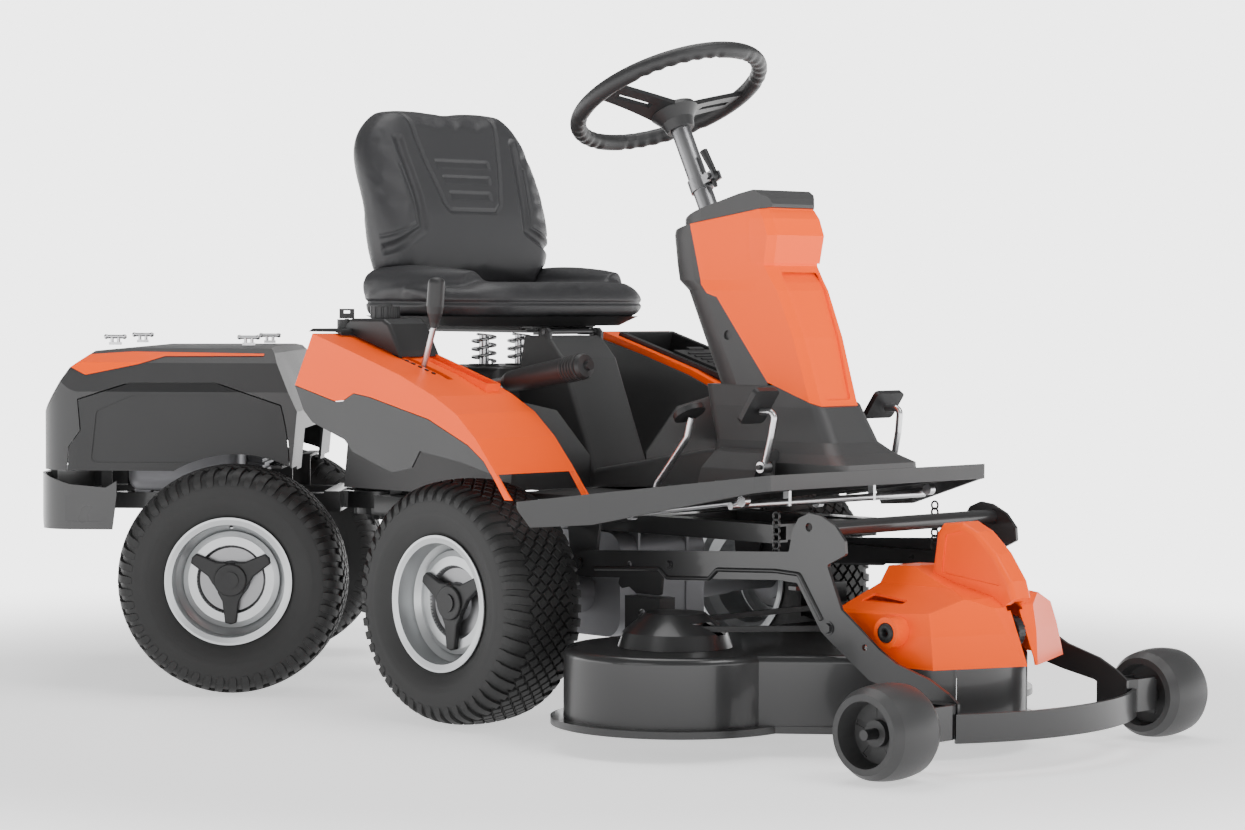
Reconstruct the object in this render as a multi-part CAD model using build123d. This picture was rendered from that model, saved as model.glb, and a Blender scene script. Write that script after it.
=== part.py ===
from build123d import *
import math
import os

# Riding lawn mower: articulated front-cut rider, millimetres, +Z up, +X ahead, +Y to the
# driver's left.  The front half is built straight; the rear half is built straight as well
# and then swung about the articulation pin by TURN degrees, which is the rest pose.

os.makedirs("parts", exist_ok=True)

# ---- driving dimensions ----
TURN = 43.8                 # articulation angle of the rest pose
JOINT_X = -652.0            # articulation pin, from the front axle
REAR_X = -887.0             # rear axle, straight ahead
TYRE_R = 205.85             # tyre outer radius (165/60-8)
TYRE_HALF = 82.0            # half of the tyre section width
RIM_R = 114.0               # rim flange radius
FRONT_TRACK = 363.0         # front wheel centre plane from the centre line
REAR_TRACK = 313.0
SHIFT_X, SHIFT_Y = 130.26, 48.45   # moves the working frame to the middle of the footprint

BLADES = [(418.0, -300.0), (665.0, 0.0), (418.0, 300.0)]
BLADE_R = 168.0             # three blades, 936 mm cut
DRUM_R = 178.0              # deck wall around each blade
SCALP_X, SCALP_Y, SCALP_R = 894.0, 342.0, 72.3
PIVOT_X, PIVOT_Z = 110.0, 268.0   # deck frame pivot

parts = {}


# ---- helpers ----
def outline(pts, r=0.0):
    face = make_face(Polyline(*pts, close=True))
    return fillet(face.vertices(), r) if r else face


def inset(pts, t):
    """Corner points of a closed outline drawn in by t."""
    area = sum(a[0] * b[1] - b[0] * a[1] for a, b in zip(pts, pts[1:] + pts[:1]))
    sign = 1 if area > 0 else -1
    out = []
    for i, p in enumerate(pts):
        a, b = pts[i - 1], pts[(i + 1) % len(pts)]
        n = []
        for u, v in ((a, p), (p, b)):
            dx, dy = v[0] - u[0], v[1] - u[1]
            d = math.hypot(dx, dy)
            n.append((-dy / d * sign, dx / d * sign))
        k = t / (1 + n[0][0] * n[1][0] + n[0][1] * n[1][1])
        out.append((p[0] + (n[0][0] + n[1][0]) * k, p[1] + (n[0][1] + n[1][1]) * k))
    return out


def xz(pts, y0, y1, r=0.0):
    """Side profile (x, z) drawn out from y0 to y1."""
    return extrude(Plane.XZ.offset(-y1) * outline(pts, r), amount=y1 - y0)


def yz(pts, x0, x1, r=0.0):
    """Front profile (y, z) drawn out from x0 to x1."""
    return extrude(Plane.YZ.offset(x0) * outline(pts, r), amount=x1 - x0)


def xy(pts, z0, z1, r=0.0):
    """Plan profile (x, y) drawn out from z0 to z1."""
    return extrude(Pos(0, 0, z0) * outline(pts, r), amount=z1 - z0)


def box(x0, x1, y0, y1, z0, z1):
    return Pos((x0 + x1) / 2, (y0 + y1) / 2, (z0 + z1) / 2) * Box(x1 - x0, y1 - y0, z1 - z0)


def between(p, q):
    p, q = Vector(*p), Vector(*q)
    return Plane(origin=p, z_dir=q - p), (q - p).length


def rod(p, q, r, r2=None):
    plane, length = between(p, q)
    if r2 is None:
        return plane * extrude(Circle(r), amount=length)
    return plane * (Pos(0, 0, length / 2) * Cone(r, r2, length))


def tube(p, q, ro, ri):
    plane, length = between(p, q)
    return plane * extrude(Circle(ro) - Circle(ri), amount=length)


def pipe(pts, r, bend=20.0):
    """Bent round bar along a list of points."""
    line = FilletPolyline(*pts, radius=bend)
    return sweep(Plane(origin=line @ 0, z_dir=line % 0) * Circle(r), path=line)


def disc_y(x, y0, y1, z, r):
    return rod((x, y0, z), (x, y1, z), r)


def disc_z(x, y, z0, z1, r):
    return Pos(x, y, (z0 + z1) / 2) * Cylinder(r, z1 - z0)


def soften(shape, edges, *radii):
    """Round the edges with the largest radius that the shape accepts."""
    for r in radii:
        try:
            done = fillet(edges, r)
            if done.is_valid:
                return done
        except Exception:
            pass
    return shape


def mirrored(shape):
    return mirror(shape, about=Plane.XZ)


def both(shape):
    return shape + mirrored(shape)


def hexbolt(p, axis, r=6.5, h=5.0):
    """Hexagon head standing on point p along axis."""
    plane = Plane(origin=p, z_dir=axis)
    head = plane * extrude(RegularPolygon(r, 6), amount=h)
    washer = plane * extrude(Circle(r * 1.35), amount=1.2)
    return head + washer


def group(*shapes):
    """Several separate solids kept in one node."""
    solids = []
    for shape in shapes:
        if isinstance(shape, (list, tuple, ShapeList)):
            for item in shape:
                solids += list(item.solids())
        else:
            solids += list(shape.solids())
    return Compound(children=solids)


def swing(shape):
    """Carry a rear-half shape round the articulation pin to the rest pose."""
    return Pos(JOINT_X, 0, 0) * Rot(0, 0, TURN) * Pos(-JOINT_X, 0, 0) * shape


def keep(name, shape, rear=False):
    if rear:
        shape = swing(shape)
    shape = Pos(SHIFT_X, SHIFT_Y, 0) * shape
    parts[name] = shape
    export_step(shape, f"parts/{name}.step")

# ---- wheels ----
def wheel_tyre():
    """Tyre on the Y axis: hollow carcass with bead toes."""
    h, r = TYRE_HALF, TYRE_R
    left = [(-62, 103.5), (-70, 118), (-79, 140), (-h, 163), (-78, 184), (-66, 197), (-38, 203.6)]
    right = [(-y, z) for y, z in reversed(left)]
    outer = Spline(*(left + [(0, r)] + right))
    inner_l = [(-50, 103.5), (-60, 120), (-68, 142), (-70.5, 163), (-67, 178), (-57, 188), (-34, 193.5)]
    inner_r = [(-y, z) for y, z in reversed(inner_l)]
    inner = Spline(*reversed(inner_l + [(0, 195)] + inner_r))
    section = make_face([outer, Line(right[-1], inner_r[-1]), inner, Line(inner_l[0], left[0])])
    return revolve(Plane.YZ * section, Axis.Y)


def wheel_rim(disc, cap_reach):
    """Pressed rim on the Y axis (outside towards +Y) and its three-arm hub cap."""
    outer = [(-73, 114), (-70, 114), (-67.5, 104), (-50, 102.5), (-38, 88), (22, 88), (36, 102.5),
             (67.5, 104), (70, 114), (73, 114)]
    inner = [(73, 110), (71, 101), (37.5, 99.3), (23.5, 84.8), (-39.5, 84.8), (-51.5, 99.3),
             (-71, 101), (-73, 110)]
    barrel = revolve(Plane.YZ * outline(outer + inner), Axis.Y)
    web = [(disc - 4, 86.5), (disc, 86.5), (disc + 3, 77), (disc + 3, 62), (disc - 5, 57), (disc - 5, 34),
           (disc + 2, 30), (disc + 2, 13), (disc - 12, 13), (disc - 12, 30), (disc - 9, 34), (disc - 9, 58),
           (disc - 1, 63), (disc - 1, 77)]
    rim = barrel + revolve(Plane.YZ * outline(web), Axis.Y)
    rim -= rod((0, disc - 5, 94), (0, disc + 40, 94), 3.4)
    base = disc + 3.6
    star = Circle(30)
    for k in range(3):
        arm = outline([(0, -24), (24, -23), (38, -15), (cap_reach, -10), (cap_reach + 3, 0),
                       (cap_reach, 10), (38, 15), (24, 23), (0, 24)])
        star += Rot(0, 0, 90 + 120 * k) * arm
    facing = Plane(origin=(0, base, 0), x_dir=(1, 0, 0), z_dir=(0, 1, 0))
    cap = facing * extrude(fillet(star.vertices(), 3), amount=9)
    cap = soften(cap, cap.faces().sort_by(Axis.Y)[-1].edges(), 3.0, 2.0, 1.0)
    cap += facing * extrude(Circle(29), amount=14)
    cap = soften(cap, cap.faces().sort_by(Axis.Y)[-1].edges(), 2.5, 1.5)
    cap += facing * (Pos(0, 0, 15) * extrude(Circle(15), amount=1.6))
    return rim, cap


rim, hub_cap = wheel_rim(32.0, 77)
tyre = wheel_tyre() - rim
for side, s in (("right", -1), ("left", 1)):
    turn = Rot(0, 0, 0 if s > 0 else 180)
    at_front = Pos(0, s * FRONT_TRACK, TYRE_R) * turn
    at_rear = Pos(REAR_X, s * REAR_TRACK, TYRE_R) * turn
    keep(f"front_{side}_tyre", at_front * tyre)
    keep(f"front_{side}_rim", group(at_front * rim, at_front * hub_cap))
    keep(f"rear_{side}_tyre", at_rear * tyre, rear=True)
    keep(f"rear_{side}_rim", group(at_rear * rim, at_rear * hub_cap), rear=True)

# ---- front chassis ----
def pin_lug(x_end, half, z0, z1, r, bore):
    """Flat lug reaching from x_end to the articulation pin."""
    lug = disc_z(JOINT_X, 0, z0, z1, r) + box(min(JOINT_X, x_end), max(JOINT_X, x_end), -half, half, z0, z1)
    return lug - disc_z(JOINT_X, 0, z0 - 1, z1 + 1, bore) if bore else lug


rails = both(box(-520, 470, 92, 130, 318, 348) - box(-521, 471, 96, 126, 322, 344))
crossers = Part() + [box(x, x + 34, -92, 92, 320, 346) for x in (-520, -260, 150, 420)]
lugs = pin_lug(-500, 46, 349.2, 362, 52, 0) + pin_lug(-500, 46, 303, 316.8, 52, 0)
lugs += box(-520, -486, -92, 92, 303, 362)
pin = disc_z(JOINT_X, 0, 292, 303, 27) + disc_z(JOINT_X, 0, 300, 370, 20) + disc_z(JOINT_X, 0, 362, 374, 27)
chassis = rails + crossers + lugs + pin
for s in (-1, 1):
    lug = xz([(PIVOT_X - 26, PIVOT_Z - 22), (PIVOT_X + 26, PIVOT_Z - 22), (PIVOT_X + 40, 348),
              (PIVOT_X - 40, 348)], -3, 3, 8)
    chassis += Pos(0, s * 203, 0) * lug
    chassis += box(PIVOT_X - 34, PIVOT_X + 34, min(s * 128, s * 206), max(s * 128, s * 206), 336, 348)
    chassis += disc_y(PIVOT_X, min(s * 200, s * 221), max(s * 200, s * 221), PIVOT_Z, 9)
    chassis += box(-470, -440, min(s * 60, s * 92), max(s * 60, s * 92), 330, 372)
keep("chassis_frame", chassis)

gear = box(-92, 96, -104, 104, 132, 312)
gear = soften(gear, gear.edges().filter_by(Axis.Y), 34, 20)
gear += Part() + [box(-94, 98, y - 3, y + 3, 126, 315) - box(-60, 60, y - 4, y + 4, 160, 280)
                  for y in (-60, 60)]
axle_f = gear
hub_y = FRONT_TRACK + 32 - 12.6
for s in (-1, 1):
    axle_f += rod((0, s * 100, TYRE_R), (0, s * 262, TYRE_R), 36, 27)
    axle_f += rod((0, s * 255, TYRE_R), (0, s * (hub_y - 8), TYRE_R), 24)
    axle_f += rod((0, s * (hub_y - 8), TYRE_R), (0, s * hub_y, TYRE_R), 44)
    axle_f += rod((0, s * hub_y, TYRE_R), (0, s * (hub_y + 15), TYRE_R), 12.6)
axle_f -= rails + crossers
keep("front_transaxle", axle_f)

# ---- footplate ----
def floor_top(x):
    return 384 + (x - 194) * 0.137


plan_half = [(194, 0), (194, 447), (326, 400), (570, 283), (590, 268), (590, 0)]
plan_full = plan_half[1:5] + [(x, -y) for x, y in reversed(plan_half[1:5])]
floor_side = [(194, 383), (224, 345), (326, 353), (566, 410), (592, 414), (592, floor_top(592)), (194, 384.5)]
plate_outer = xz(floor_side, -460, 460) & xy(plan_full, 300, 500, 9)
inner_plan = [(x - 6 if x > 560 else x, y - 6 if y > 0 else y + 6) for x, y in plan_full]
plate_pocket = xz([(180, 330), (592, 330), (592, floor_top(592) - 6), (180, floor_top(180) - 6)],
                  -460, 460) & xy(inner_plan, 300, 500, 6)
plate = plate_outer - plate_pocket
rear_floor = xz([(-4, 384), (-4, 378), (194, 378), (194, 384.5)], -256, 256)
plate += rear_floor + xz([(193, 384.5), (193, 378.2), (240, 384), (240, floor_top(240))], -256, 256)
for y in (-330, -250, -130, 130, 250, 330):
    reach = 300 if abs(y) > 300 else 560
    plate += xz([(230, floor_top(230) - 4), (230, 366), (reach, floor_top(reach) - 22),
                 (reach, floor_top(reach) - 4)], y - 2.5, y + 2.5)
nubs = []
for i in range(9):
    for j in range(7):
        x, y = 212 + 36 * i, 132 + 32 * j
        limit = 430 if x < 326 else 395 - (x - 326) * 0.48
        if y < limit - 14 and not (x > 318 and y < 178):
            nubs.append(Pos(x, y, floor_top(x) + 0.6) * Rot(0, -7.8, 45) * Box(22, 5, 3))
tread = Part() + nubs
plate += both(tread)
plate -= box(238, 290, -197, -175, 370, 410)
plate += box(243, 261, -204, -199, 358, floor_top(243) - 3) + box(243, 261, -173, -168, 358, floor_top(243) - 3)
plate += disc_y(252, -204, -168, 366, 4.1)
keep("footplate", plate)
floor_block = xz([(-4, 300), (-4, 384.2), (194, 384.7), (592, floor_top(592) + 0.2), (592, 300)], -460, 460)

# ---- steering tower ----
def tower_section(z, cx, xf, wf, wr=82.0, cut=14.0):
    arc = ThreePointArc((cx, wr), (cx - wr, 0), (cx, -wr))
    front = Polyline((cx, -wr), (xf - cut, -wf), (xf, -wf + cut), (xf, wf - cut), (xf - cut, wf), (cx, wr))
    return Pos(0, 0, z) * make_face([arc, front])


TOWER = [(500, 372, 512, 57), (577, 343, 487, 58.5), (650, 307, 463, 60.5), (727, 270, 429, 63),
         (744, 248, 417, 64), (768, 243, 402, 65.5), (820, 236, 401, 67), (858, 246, 392, 66),
         (900, 262, 384, 65)]


def tower_solid(t):
    """Whole tower, drawn in by t on every side."""
    secs = [tower_section(z, cx, xf - t, wf - t, 82.0 - t, 13.0) for z, cx, xf, wf in TOWER]
    return loft(secs, ruled=True)


full = tower_solid(0)
hollow = tower_solid(4.0)
seam = [(236, 838), (262, 737), (276, 722), (296, 716), (404, 576), (430, 566), (504, 536)]
front_zone = xz(seam + [(620, 536), (620, 900), (460, 873), (384, 862)], -120, 120)
back_zone = xz([(150, 822)] + seam[:5] + [(404, 571), (120, 571)], -120, 120)
front_cover = (full & front_zone) - hollow
brow = loft([Pos(0, 0, z) * outline([(360, -w), (x - 12, -w), (x, -w + 12), (x, w - 12),
                                                 (x - 12, w), (360, w)])
             for z, x, w in ((772, 404, 68.5), (818, 412, 70), (846, 402, 69.5), (861, 391, 68))], ruled=True)
brow -= hollow
front_cover += brow & xz([(236, 700), (236, 838), (384, 862), (460, 873), (460, 700)], -120, 120)
dish = xz([(391, 757), (419, 722), (452, 650), (478, 577), (491, 538), (570, 538), (570, 757)], -60, 60)
dish &= yz([(-46, 757), (46, 757), (31, 548), (-31, 548)], 370, 570, 6)
front_cover -= dish
front_cover += Pos(-4.4, 0, 0) * (full & xz([(380, 757), (404, 757), (432, 727), (466, 650), (490, 577), (497, 548),
                                           (470, 548)], -47, 47) & yz([(-47, 758), (47, 758), (32, 547),
                                           (-32, 547)], 360, 560)) - tower_solid(10.5)
back_cover = (full & back_zone) - hollow
for s in (-1, 1):
    back_cover -= disc_y(322, min(s * 60, s * 90), max(s * 60, s * 90), 653, 8)
    back_cover += disc_y(322, min(s * 73, s * 76), max(s * 73, s * 76), 653, 10)

TILT = 26.5
UP = (-math.sin(math.radians(TILT)), 0.0, math.cos(math.radians(TILT)))


def on_axis(t):
    """Point on the steering axis, t millimetres above the column reference."""
    return (181 + UP[0] * t, 0.0, 908 + UP[2] * t)


column_bore = rod(on_axis(-260), on_axis(60), 17.6)
back_cover -= column_bore
keep("tower_front_cover", front_cover)
keep("tower_back_cover", back_cover)

cap_plan = tower_section(0, 262, 395, 67, 83, 15).face()
cap_side = [(176, 827), (236, 838.4), (384, 862.4), (397, 864.6), (391, 880), (368, 893.5), (338, 887),
            (236, 856), (192, 842)]
dash = extrude(Pos(0, 0, 780) * cap_plan, amount=150) & xz(cap_side, -120, 120)
dash -= extrude(Pos(0, 0, 780) * tower_section(0, 262, 389, 61, 77, 13).face(), amount=150) & xz(
    [(150, 800), (400, 850), (386, 876), (366, 887), (338, 880), (236, 850), (180, 834)], -120, 120)
dash = soften(dash, dash.edges().group_by(Axis.Z)[-1], 5, 3, 1)
boot = rod(on_axis(-66), on_axis(-48), 27, 21)
dash += boot
dash -= column_bore
dash -= back_cover + front_cover
keep("dash_cap", dash)

# ---- console base under the tower ----
def console_section(z, xr, wr, xf, wf):
    r = min(60, wr - 10)
    pts = [(xr, -wr), (xf, -wf), (xf, wf), (xr, wr)]
    return Pos(0, 0, z) * outline(pts, 22)


console = loft([console_section(z, *row) for z, row in
                ((392, (300, 112, 592, 104)), (447, (300, 106, 590, 100)), (462, (298, 100, 560, 80)),
                 (480, (296, 94, 538, 63)), (536, (272, 84, 506, 58)), (571, (262, 80, 489, 58)))], ruled=True)
console_in = loft([console_section(z, *row) for z, row in
                   ((380, (306, 106, 585, 98)), (447, (306, 100, 583, 94)), (462, (304, 94, 553, 74)),
                    (480, (302, 88, 531, 57)), (536, (278, 78, 499, 52)), (566, (268, 74, 482, 52)))], ruled=True)
console -= console_in
console -= floor_block
console -= xz([(430, 566.4), (504, 536.4), (620, 536.4), (620, 600), (404, 600), (404, 576.4)], -120, 120)
console -= full & front_zone
wings = both(yz([(95, 384), (168, 384), (150, 436), (118, 462), (95, 470)], 330, 452, 0))
wings -= floor_block
wings -= console_in + console
console += soften(wings, wings.edges().filter_by(Axis.X), 6, 3)
for y0, y1, p0, p1 in ((-139, -134, -166, -134), (156, 161, 156, 188)):
    console += box(446, 479, y0, y1, 410, 452) - floor_block
    console += disc_y(470, p0, p1, 442, 4.1)
keep("console_base", console)

# ---- fenders and mudguards ----
crest = [(-320, 650), (-205, 617), (-90, 583), (-5, 550), (50, 522), (98, 483), (140, 437), (172, 399)]
guard_low = [(140, 430), (61, 444), (-40, 458), (-60, 430), (-110, 420), (-127, 424), (-212, 450),
             (-234, 470), (-320, 497), (-344, 517)]
body_side = crest + [(184, 386.5), (168, 386.5), (136, 427)] + guard_low[1:] + [(-368, 560)]
under_side = [(-363.5, 300), (-363.5, 559), (-317.5, 645)] + [(x, z - 4.6) for x, z in crest[1:]] + [
    (178, 386), (178, 300)]
fender_seam = [(-380, 563), (-259, 535), (-238, 537), (-211, 550), (-170, 545), (-19, 512), (80, 472), (118, 447),
               (148, 412), (172, 380), (260, 372)]


def fender_block(side, t):
    """Body over the right front wheel from its side outline, drawn in by t."""
    side = outline(side)
    solid = extrude(Plane.XZ.offset(262 + t) * side, amount=178 - 2 * t)
    top = [e for e in solid.edges() if abs(e.center().Y + 440 - t) < 0.5 and e.center().Z > 392
           and e.center().X > -330 and any(abs(e.center().Z - (a[1] + b[1]) / 2) < 14 and
                                           abs(e.center().X - (a[0] + b[0]) / 2) < 14
                                           for a, b in zip(crest[:-1], crest[1:]))]
    return soften(solid, top, 30 - t, 22 - t, 14 - t, 8)


outer_f = fender_block(body_side, 0)
inner_f = fender_block(under_side, 4)
arch = disc_y(0, -500, -268, TYRE_R, 226)
shell_f = outer_f - inner_f
shell_f -= arch
shell_f -= xz([(-128, 300), (-128, 428), (-60, 432), (-40, 454), (61, 442), (164, 424), (190, 380), (190, 300)],
              -436, -266)
above = xz(fender_seam + [(260, 720), (-420, 720), (-420, 563)], -500, -200)
below = xz([(x, z - 1.2) for x, z in fender_seam] + [(260, 300), (-420, 300)], -500, -200)
fender = shell_f & above
plain_fender = fender - floor_block
guard = shell_f & below
fender -= floor_block
guard -= floor_block

# top of the right fender: lever slot and a long ribbed pocket
SLOPE = math.degrees(math.atan2(33, 115))
deck_frame_r = Pos(-140, -345, 597.5) * Rot(0, SLOPE, 0)
fender -= deck_frame_r * Box(150, 13, 40)
fender -= deck_frame_r * (Pos(26, 48, 2) * Box(200, 26, 32))
pocket = deck_frame_r * (Pos(26, 48, -5) * (Box(206, 32, 22) - Pos(0, 0, 3) * Box(200, 26, 24)))
fender += pocket - fender
ticks = [deck_frame_r * (Pos(-60 + 18 * k, -17, 0.6) * Box(7, 4, 3)) for k in range(7)]
fender += Part() + ticks

panel_rear = yz([(-392, 600), (-392, 652), (-386, 658), (-284, 658), (-278, 652), (-278, 600)], -392, -300)
panel_rear = soften(panel_rear, panel_rear.edges().group_by(Axis.Z)[-1], 5, 3)
panel_front = xz([(-318, 590), (-318, 668), (-308, 676), (-222, 676), (-206, 668), (-178, 622), (-172, 590)],
                 -366, -276)
panel_front = soften(panel_front, panel_front.edges().filter_by(lambda e: e.center().Z > 640), 6, 4, 2)
panel = (panel_rear & xz([(-400, 500), (-400, 640), (-384, 660), (-200, 660), (-200, 500)], -500, 0)) + panel_front
panel &= xz([(-317, 652.5), (-205, 620.2), (-90, 585), (-90, 800), (-400, 800), (-400, 652.5)], -500, -200)
KEY = (-350.0, -338.0)
DIAL = (-266.0, -322.0)
panel += disc_z(KEY[0], KEY[1], 655, 674, 17)
panel -= disc_z(KEY[0], KEY[1], 660, 680, 4.2)
panel -= disc_z(DIAL[0], DIAL[1], 666, 690, 7.6)
panel -= fender
keep("control_panel", panel)

left_fender = mirrored(plain_fender)
TRAY = Pos(-160, 350, 606) * Rot(0, SLOPE, 0)
left_fender -= TRAY * Box(262, 128, 60)
keep("right_fender", fender)
keep("left_fender", left_fender)
keep("mudguards", group(guard, mirrored(guard)))

tray = TRAY * (Pos(0, 0, 2) * Box(278, 144, 8) - Pos(0, 0, 2) * Box(256, 122, 10))
tray += TRAY * (Pos(0, 0, -22) * Box(260, 126, 52) - Pos(0, 0, -19) * Box(254, 120, 52))
tray += TRAY * (Pos(122, -50, 6) * Box(12, 14, 9) + Pos(122, 50, 6) * Box(12, 14, 9))
tray -= TRAY * rod((124, -70, 9), (124, 70, 9), 2.6)
lid = TRAY * (Pos(54, 0, 8.4) * Box(118, 118, 4))
for k in range(5):
    lid += TRAY * (Pos(20 + 17 * k, 0, 11) * Box(6, 88, 3))
lid += TRAY * (Pos(-8, 0, 10) * Box(10, 40, 7)) + TRAY * (Pos(-13, 0, 4.5) * Box(3, 34, 10))
lid += TRAY * rod((124, -40, 9), (124, 40, 9), 3.4)
lid -= TRAY * rod((124, -41, 9), (124, 41, 9), 1.4)
lid += TRAY * (Pos(117, 0, 8.6) * Box(14, 76, 3.4)) - TRAY * rod((124, -41, 9), (124, 41, 9), 1.4)
tray += TRAY * rod((124, -57, 9), (124, 57, 9), 1.0)
tray -= TRAY * (Pos(122, 0, 6) * Box(30, 88, 9.5)) - TRAY * rod((124, -57, 9), (124, 57, 9), 1.0)
tray -= left_fender
keep("storage_tray", tray)
keep("tray_lid", lid)

# ---- seat support, tunnel and inner side panels ----
seat_side = [(-4, 384.6), (-4, 414), (-86, 607), (-125, 646), (-182, 646), (-194, 590), (-424, 590),
             (-462, 560), (-476, 372), (-90, 372)]
nose = xz(seat_side, -68, 68)
nose = soften(nose, nose.edges().filter_by(lambda e: abs(abs(e.center().Y) - 68) < 0.1 and e.center().X > -130
                                           and e.center().Z > 420), 8, 5)
base = xz([(-196, 372), (-196, 588), (-424, 590), (-462, 560), (-476, 372)], -128, 128, 0)
base = soften(base, base.edges().filter_by(lambda e: abs(abs(e.center().Y) - 128) < 0.1
                                           and e.center().Z > 400), 16, 10)
support = nose + base
support -= xz([(-20, 360), (-90, 560), (-140, 600), (-190, 584), (-418, 584), (-454, 556), (-470, 360)], -62, 62)
support -= xz([(-202, 360), (-202, 582), (-420, 584), (-455, 556), (-470, 360)], -122, 122)
support += Part() + [disc_z(-316, y, 584, 593, 27) for y in (-44, 44)]
for s in (-1, 1):
    support += xz([(-150, 640), (-150, 652), (-142, 660), (-128, 660), (-120, 652), (-120, 640)],
                  min(s * 60, s * 66), max(s * 60, s * 66))
support -= disc_y(-135, -70, 70, 653, 4.8)
support -= rails + crossers + chassis
keep("seat_support", support)

tunnel = xz([(-2, 384.8), (-2, 418), (60, 428), (262, 461), (330, 466), (330, floor_top(330))], -70, 70)
tunnel = soften(tunnel, tunnel.edges().filter_by(lambda e: abs(abs(e.center().Y) - 70) < 0.1
                                                 and e.center().Z > 405), 9, 6)
tunnel -= xz([(2, 380), (2, 412), (60, 422), (262, 455), (326, 460), (326, 380)], -64, 64)
tunnel = tunnel - console_in - console - floor_block - nose
inner_wall = xz([(-455, 372), (-430, 560), (-330, 640), (-205, 607), (-90, 573), (-5, 540), (-14, 384.6),
                 (-14, 372)], -257, -253)
inner_back = box(-18, -14, -253, -70, 384.8, 560) & yz([(-253, 380), (-253, 540), (-150, 520), (-70, 440),
                                                        (-70, 380)], -30, 0)
panels = group(tunnel, inner_wall, mirrored(inner_wall), inner_back, mirrored(inner_back))
keep("side_panels", panels)

# coil springs that carry the rear of the seat
spring = sweep(Plane(origin=(21, 0, 0), z_dir=(0, 1, 0.12)) * Circle(2.4),
               path=Helix(pitch=14.5, height=50.5, radius=21), is_frenet=True)
keep("seat_springs", group(Pos(-316, -44, 596) * spring, Pos(-316, 44, 596) * spring,
                           disc_z(-316, -44, 593.1, 645, 9), disc_z(-316, 44, 593.1, 645, 9)))

# ---- seat ----
HINGE = (-135.0, 653.0)
bracket = box(-440, -150, -62, -44, 650.6, 655) + box(-440, -150, 44, 62, 650.6, 655)
bracket += box(-350, -282, -62, 62, 650.6, 655) + box(-170, -150, -62, 62, 650.6, 655)
for s in (-1, 1):
    bracket += box(-172, -135, min(s * 53, s * 58), max(s * 53, s * 58), 647, 656)
    bracket += disc_y(-135, s * 53, s * 58, 653, 6.4)
bracket += disc_y(-135, -67.5, 67.5, 653, 4.4)
bracket -= box(-200, -139, -50, 50, 640, 650)
for s in (-1, 1):
    bracket += box(-430, -160, min(s * 70, s * 84), max(s * 70, s * 84), 655, 659)
    bracket += box(-430, -160, min(s * 58, s * 84), max(s * 58, s * 84), 653, 657)
keep("seat_bracket", bracket)

def seat_plan(x0, x1, w, rf, rb):
    pts = [(x0, -w), (x1, -w), (x1, w), (x0, w)]
    face = outline(pts)
    vs = face.vertices()
    face = fillet(vs.sort_by(Axis.X)[-2:], rf)
    return fillet(face.vertices().sort_by(Axis.X)[:2], rb)


pan = loft([Pos(0, 0, 663) * seat_plan(-430, -160, 196, 86, 30), Pos(0, 0, 680) * seat_plan(-452, -134, 230, 104, 40)],
           ruled=True)
pan -= loft([Pos(0, 0, 667) * seat_plan(-424, -166, 190, 80, 26), Pos(0, 0, 684) * seat_plan(-447, -139, 225, 99, 36)],
            ruled=True)
pan += both(box(-425, -165, 66.6, 90, 661.2, 665)) + both(box(-420, -170, 87, 90, 655.5, 664))
pan += xz([(-452, 680), (-470, 720), (-486, 900), (-496, 900), (-480, 716), (-462, 668), (-440, 663)], -150, 150)
keep("seat_pan", pan)
cushion = loft([Pos(0, 0, 680.3) * seat_plan(-447, -132, 232, 105, 40), Pos(0, 0, 700) * seat_plan(-450, -126, 238, 108, 45),
                Pos(0, 0, 735) * seat_plan(-448, -140, 232, 105, 45)], ruled=False)
cushion = soften(cushion, cushion.faces().sort_by(Axis.Z)[-1].edges(), 26, 18, 12)
for s in (-1, 1):
    bol = loft([Plane(origin=(x, s * y, z), z_dir=(1, 0, 0)) * Ellipse(a, b)
                for x, y, z, a, b in ((-440, 190, 730, 34, 42), (-330, 190, 730, 36, 38), (-200, 176, 722, 34, 30))])
    cushion += bol
keep("seat_cushion", cushion)


def back_section(z, xc, w, t):
    return Pos(xc, 0, z) * fillet(outline([(-t, -w), (t, -w), (t, w), (-t, w)]).vertices(), min(t, w) * 0.8)


squab = loft([back_section(*row) for row in ((722, -428, 172, 42), (800, -434, 204, 48), (860, -443, 208, 48),
                                             (940, -458, 196, 46), (1006, -470, 170, 42), (1053, -478, 124, 32))])
squab = soften(squab, squab.faces().sort_by(Axis.Z)[-1].edges(), 18, 12, 6)
squab -= cushion
squab -= pan
keep("seat_backrest", squab)

# ---- steering wheel and column ----
column = tube(on_axis(-200), on_axis(112), 17, 14)
column += rod(on_axis(-13), on_axis(9), 20) - rod(on_axis(-30), on_axis(12), 16)
lock_at = on_axis(-2)
clamp = Plane(origin=(lock_at[0], 0, lock_at[2]), x_dir=(0, 1, 0), z_dir=UP)
for y in (-9, 9):
    column += clamp * (Pos(y, -28, 0) * Box(5, 26, 15)) - clamp * Cylinder(18, 40)
column += clamp * (Pos(0, -32, 0) * Rot(0, 90, 0) * Cylinder(3, 30))
column += clamp * (Pos(-13, -32, 0) * Rot(0, 90, 0) * extrude(RegularPolygon(6.5, 6), amount=-5))
column -= clamp * Cylinder(14, 60)
keep("column_tube", column)
lock = clamp * (Pos(0, -32, 0) * Rot(0, 90, 0) * (Cylinder(8.5, 11) - Cylinder(3.5, 12)))
lock += clamp * (Pos(0, -35, 26) * Rot(-8, 0, 0) * Cone(5.2, 7.2, 46)) + clamp * (Pos(0, -31, -12) * Cone(3.5, 5, 14))
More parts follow.
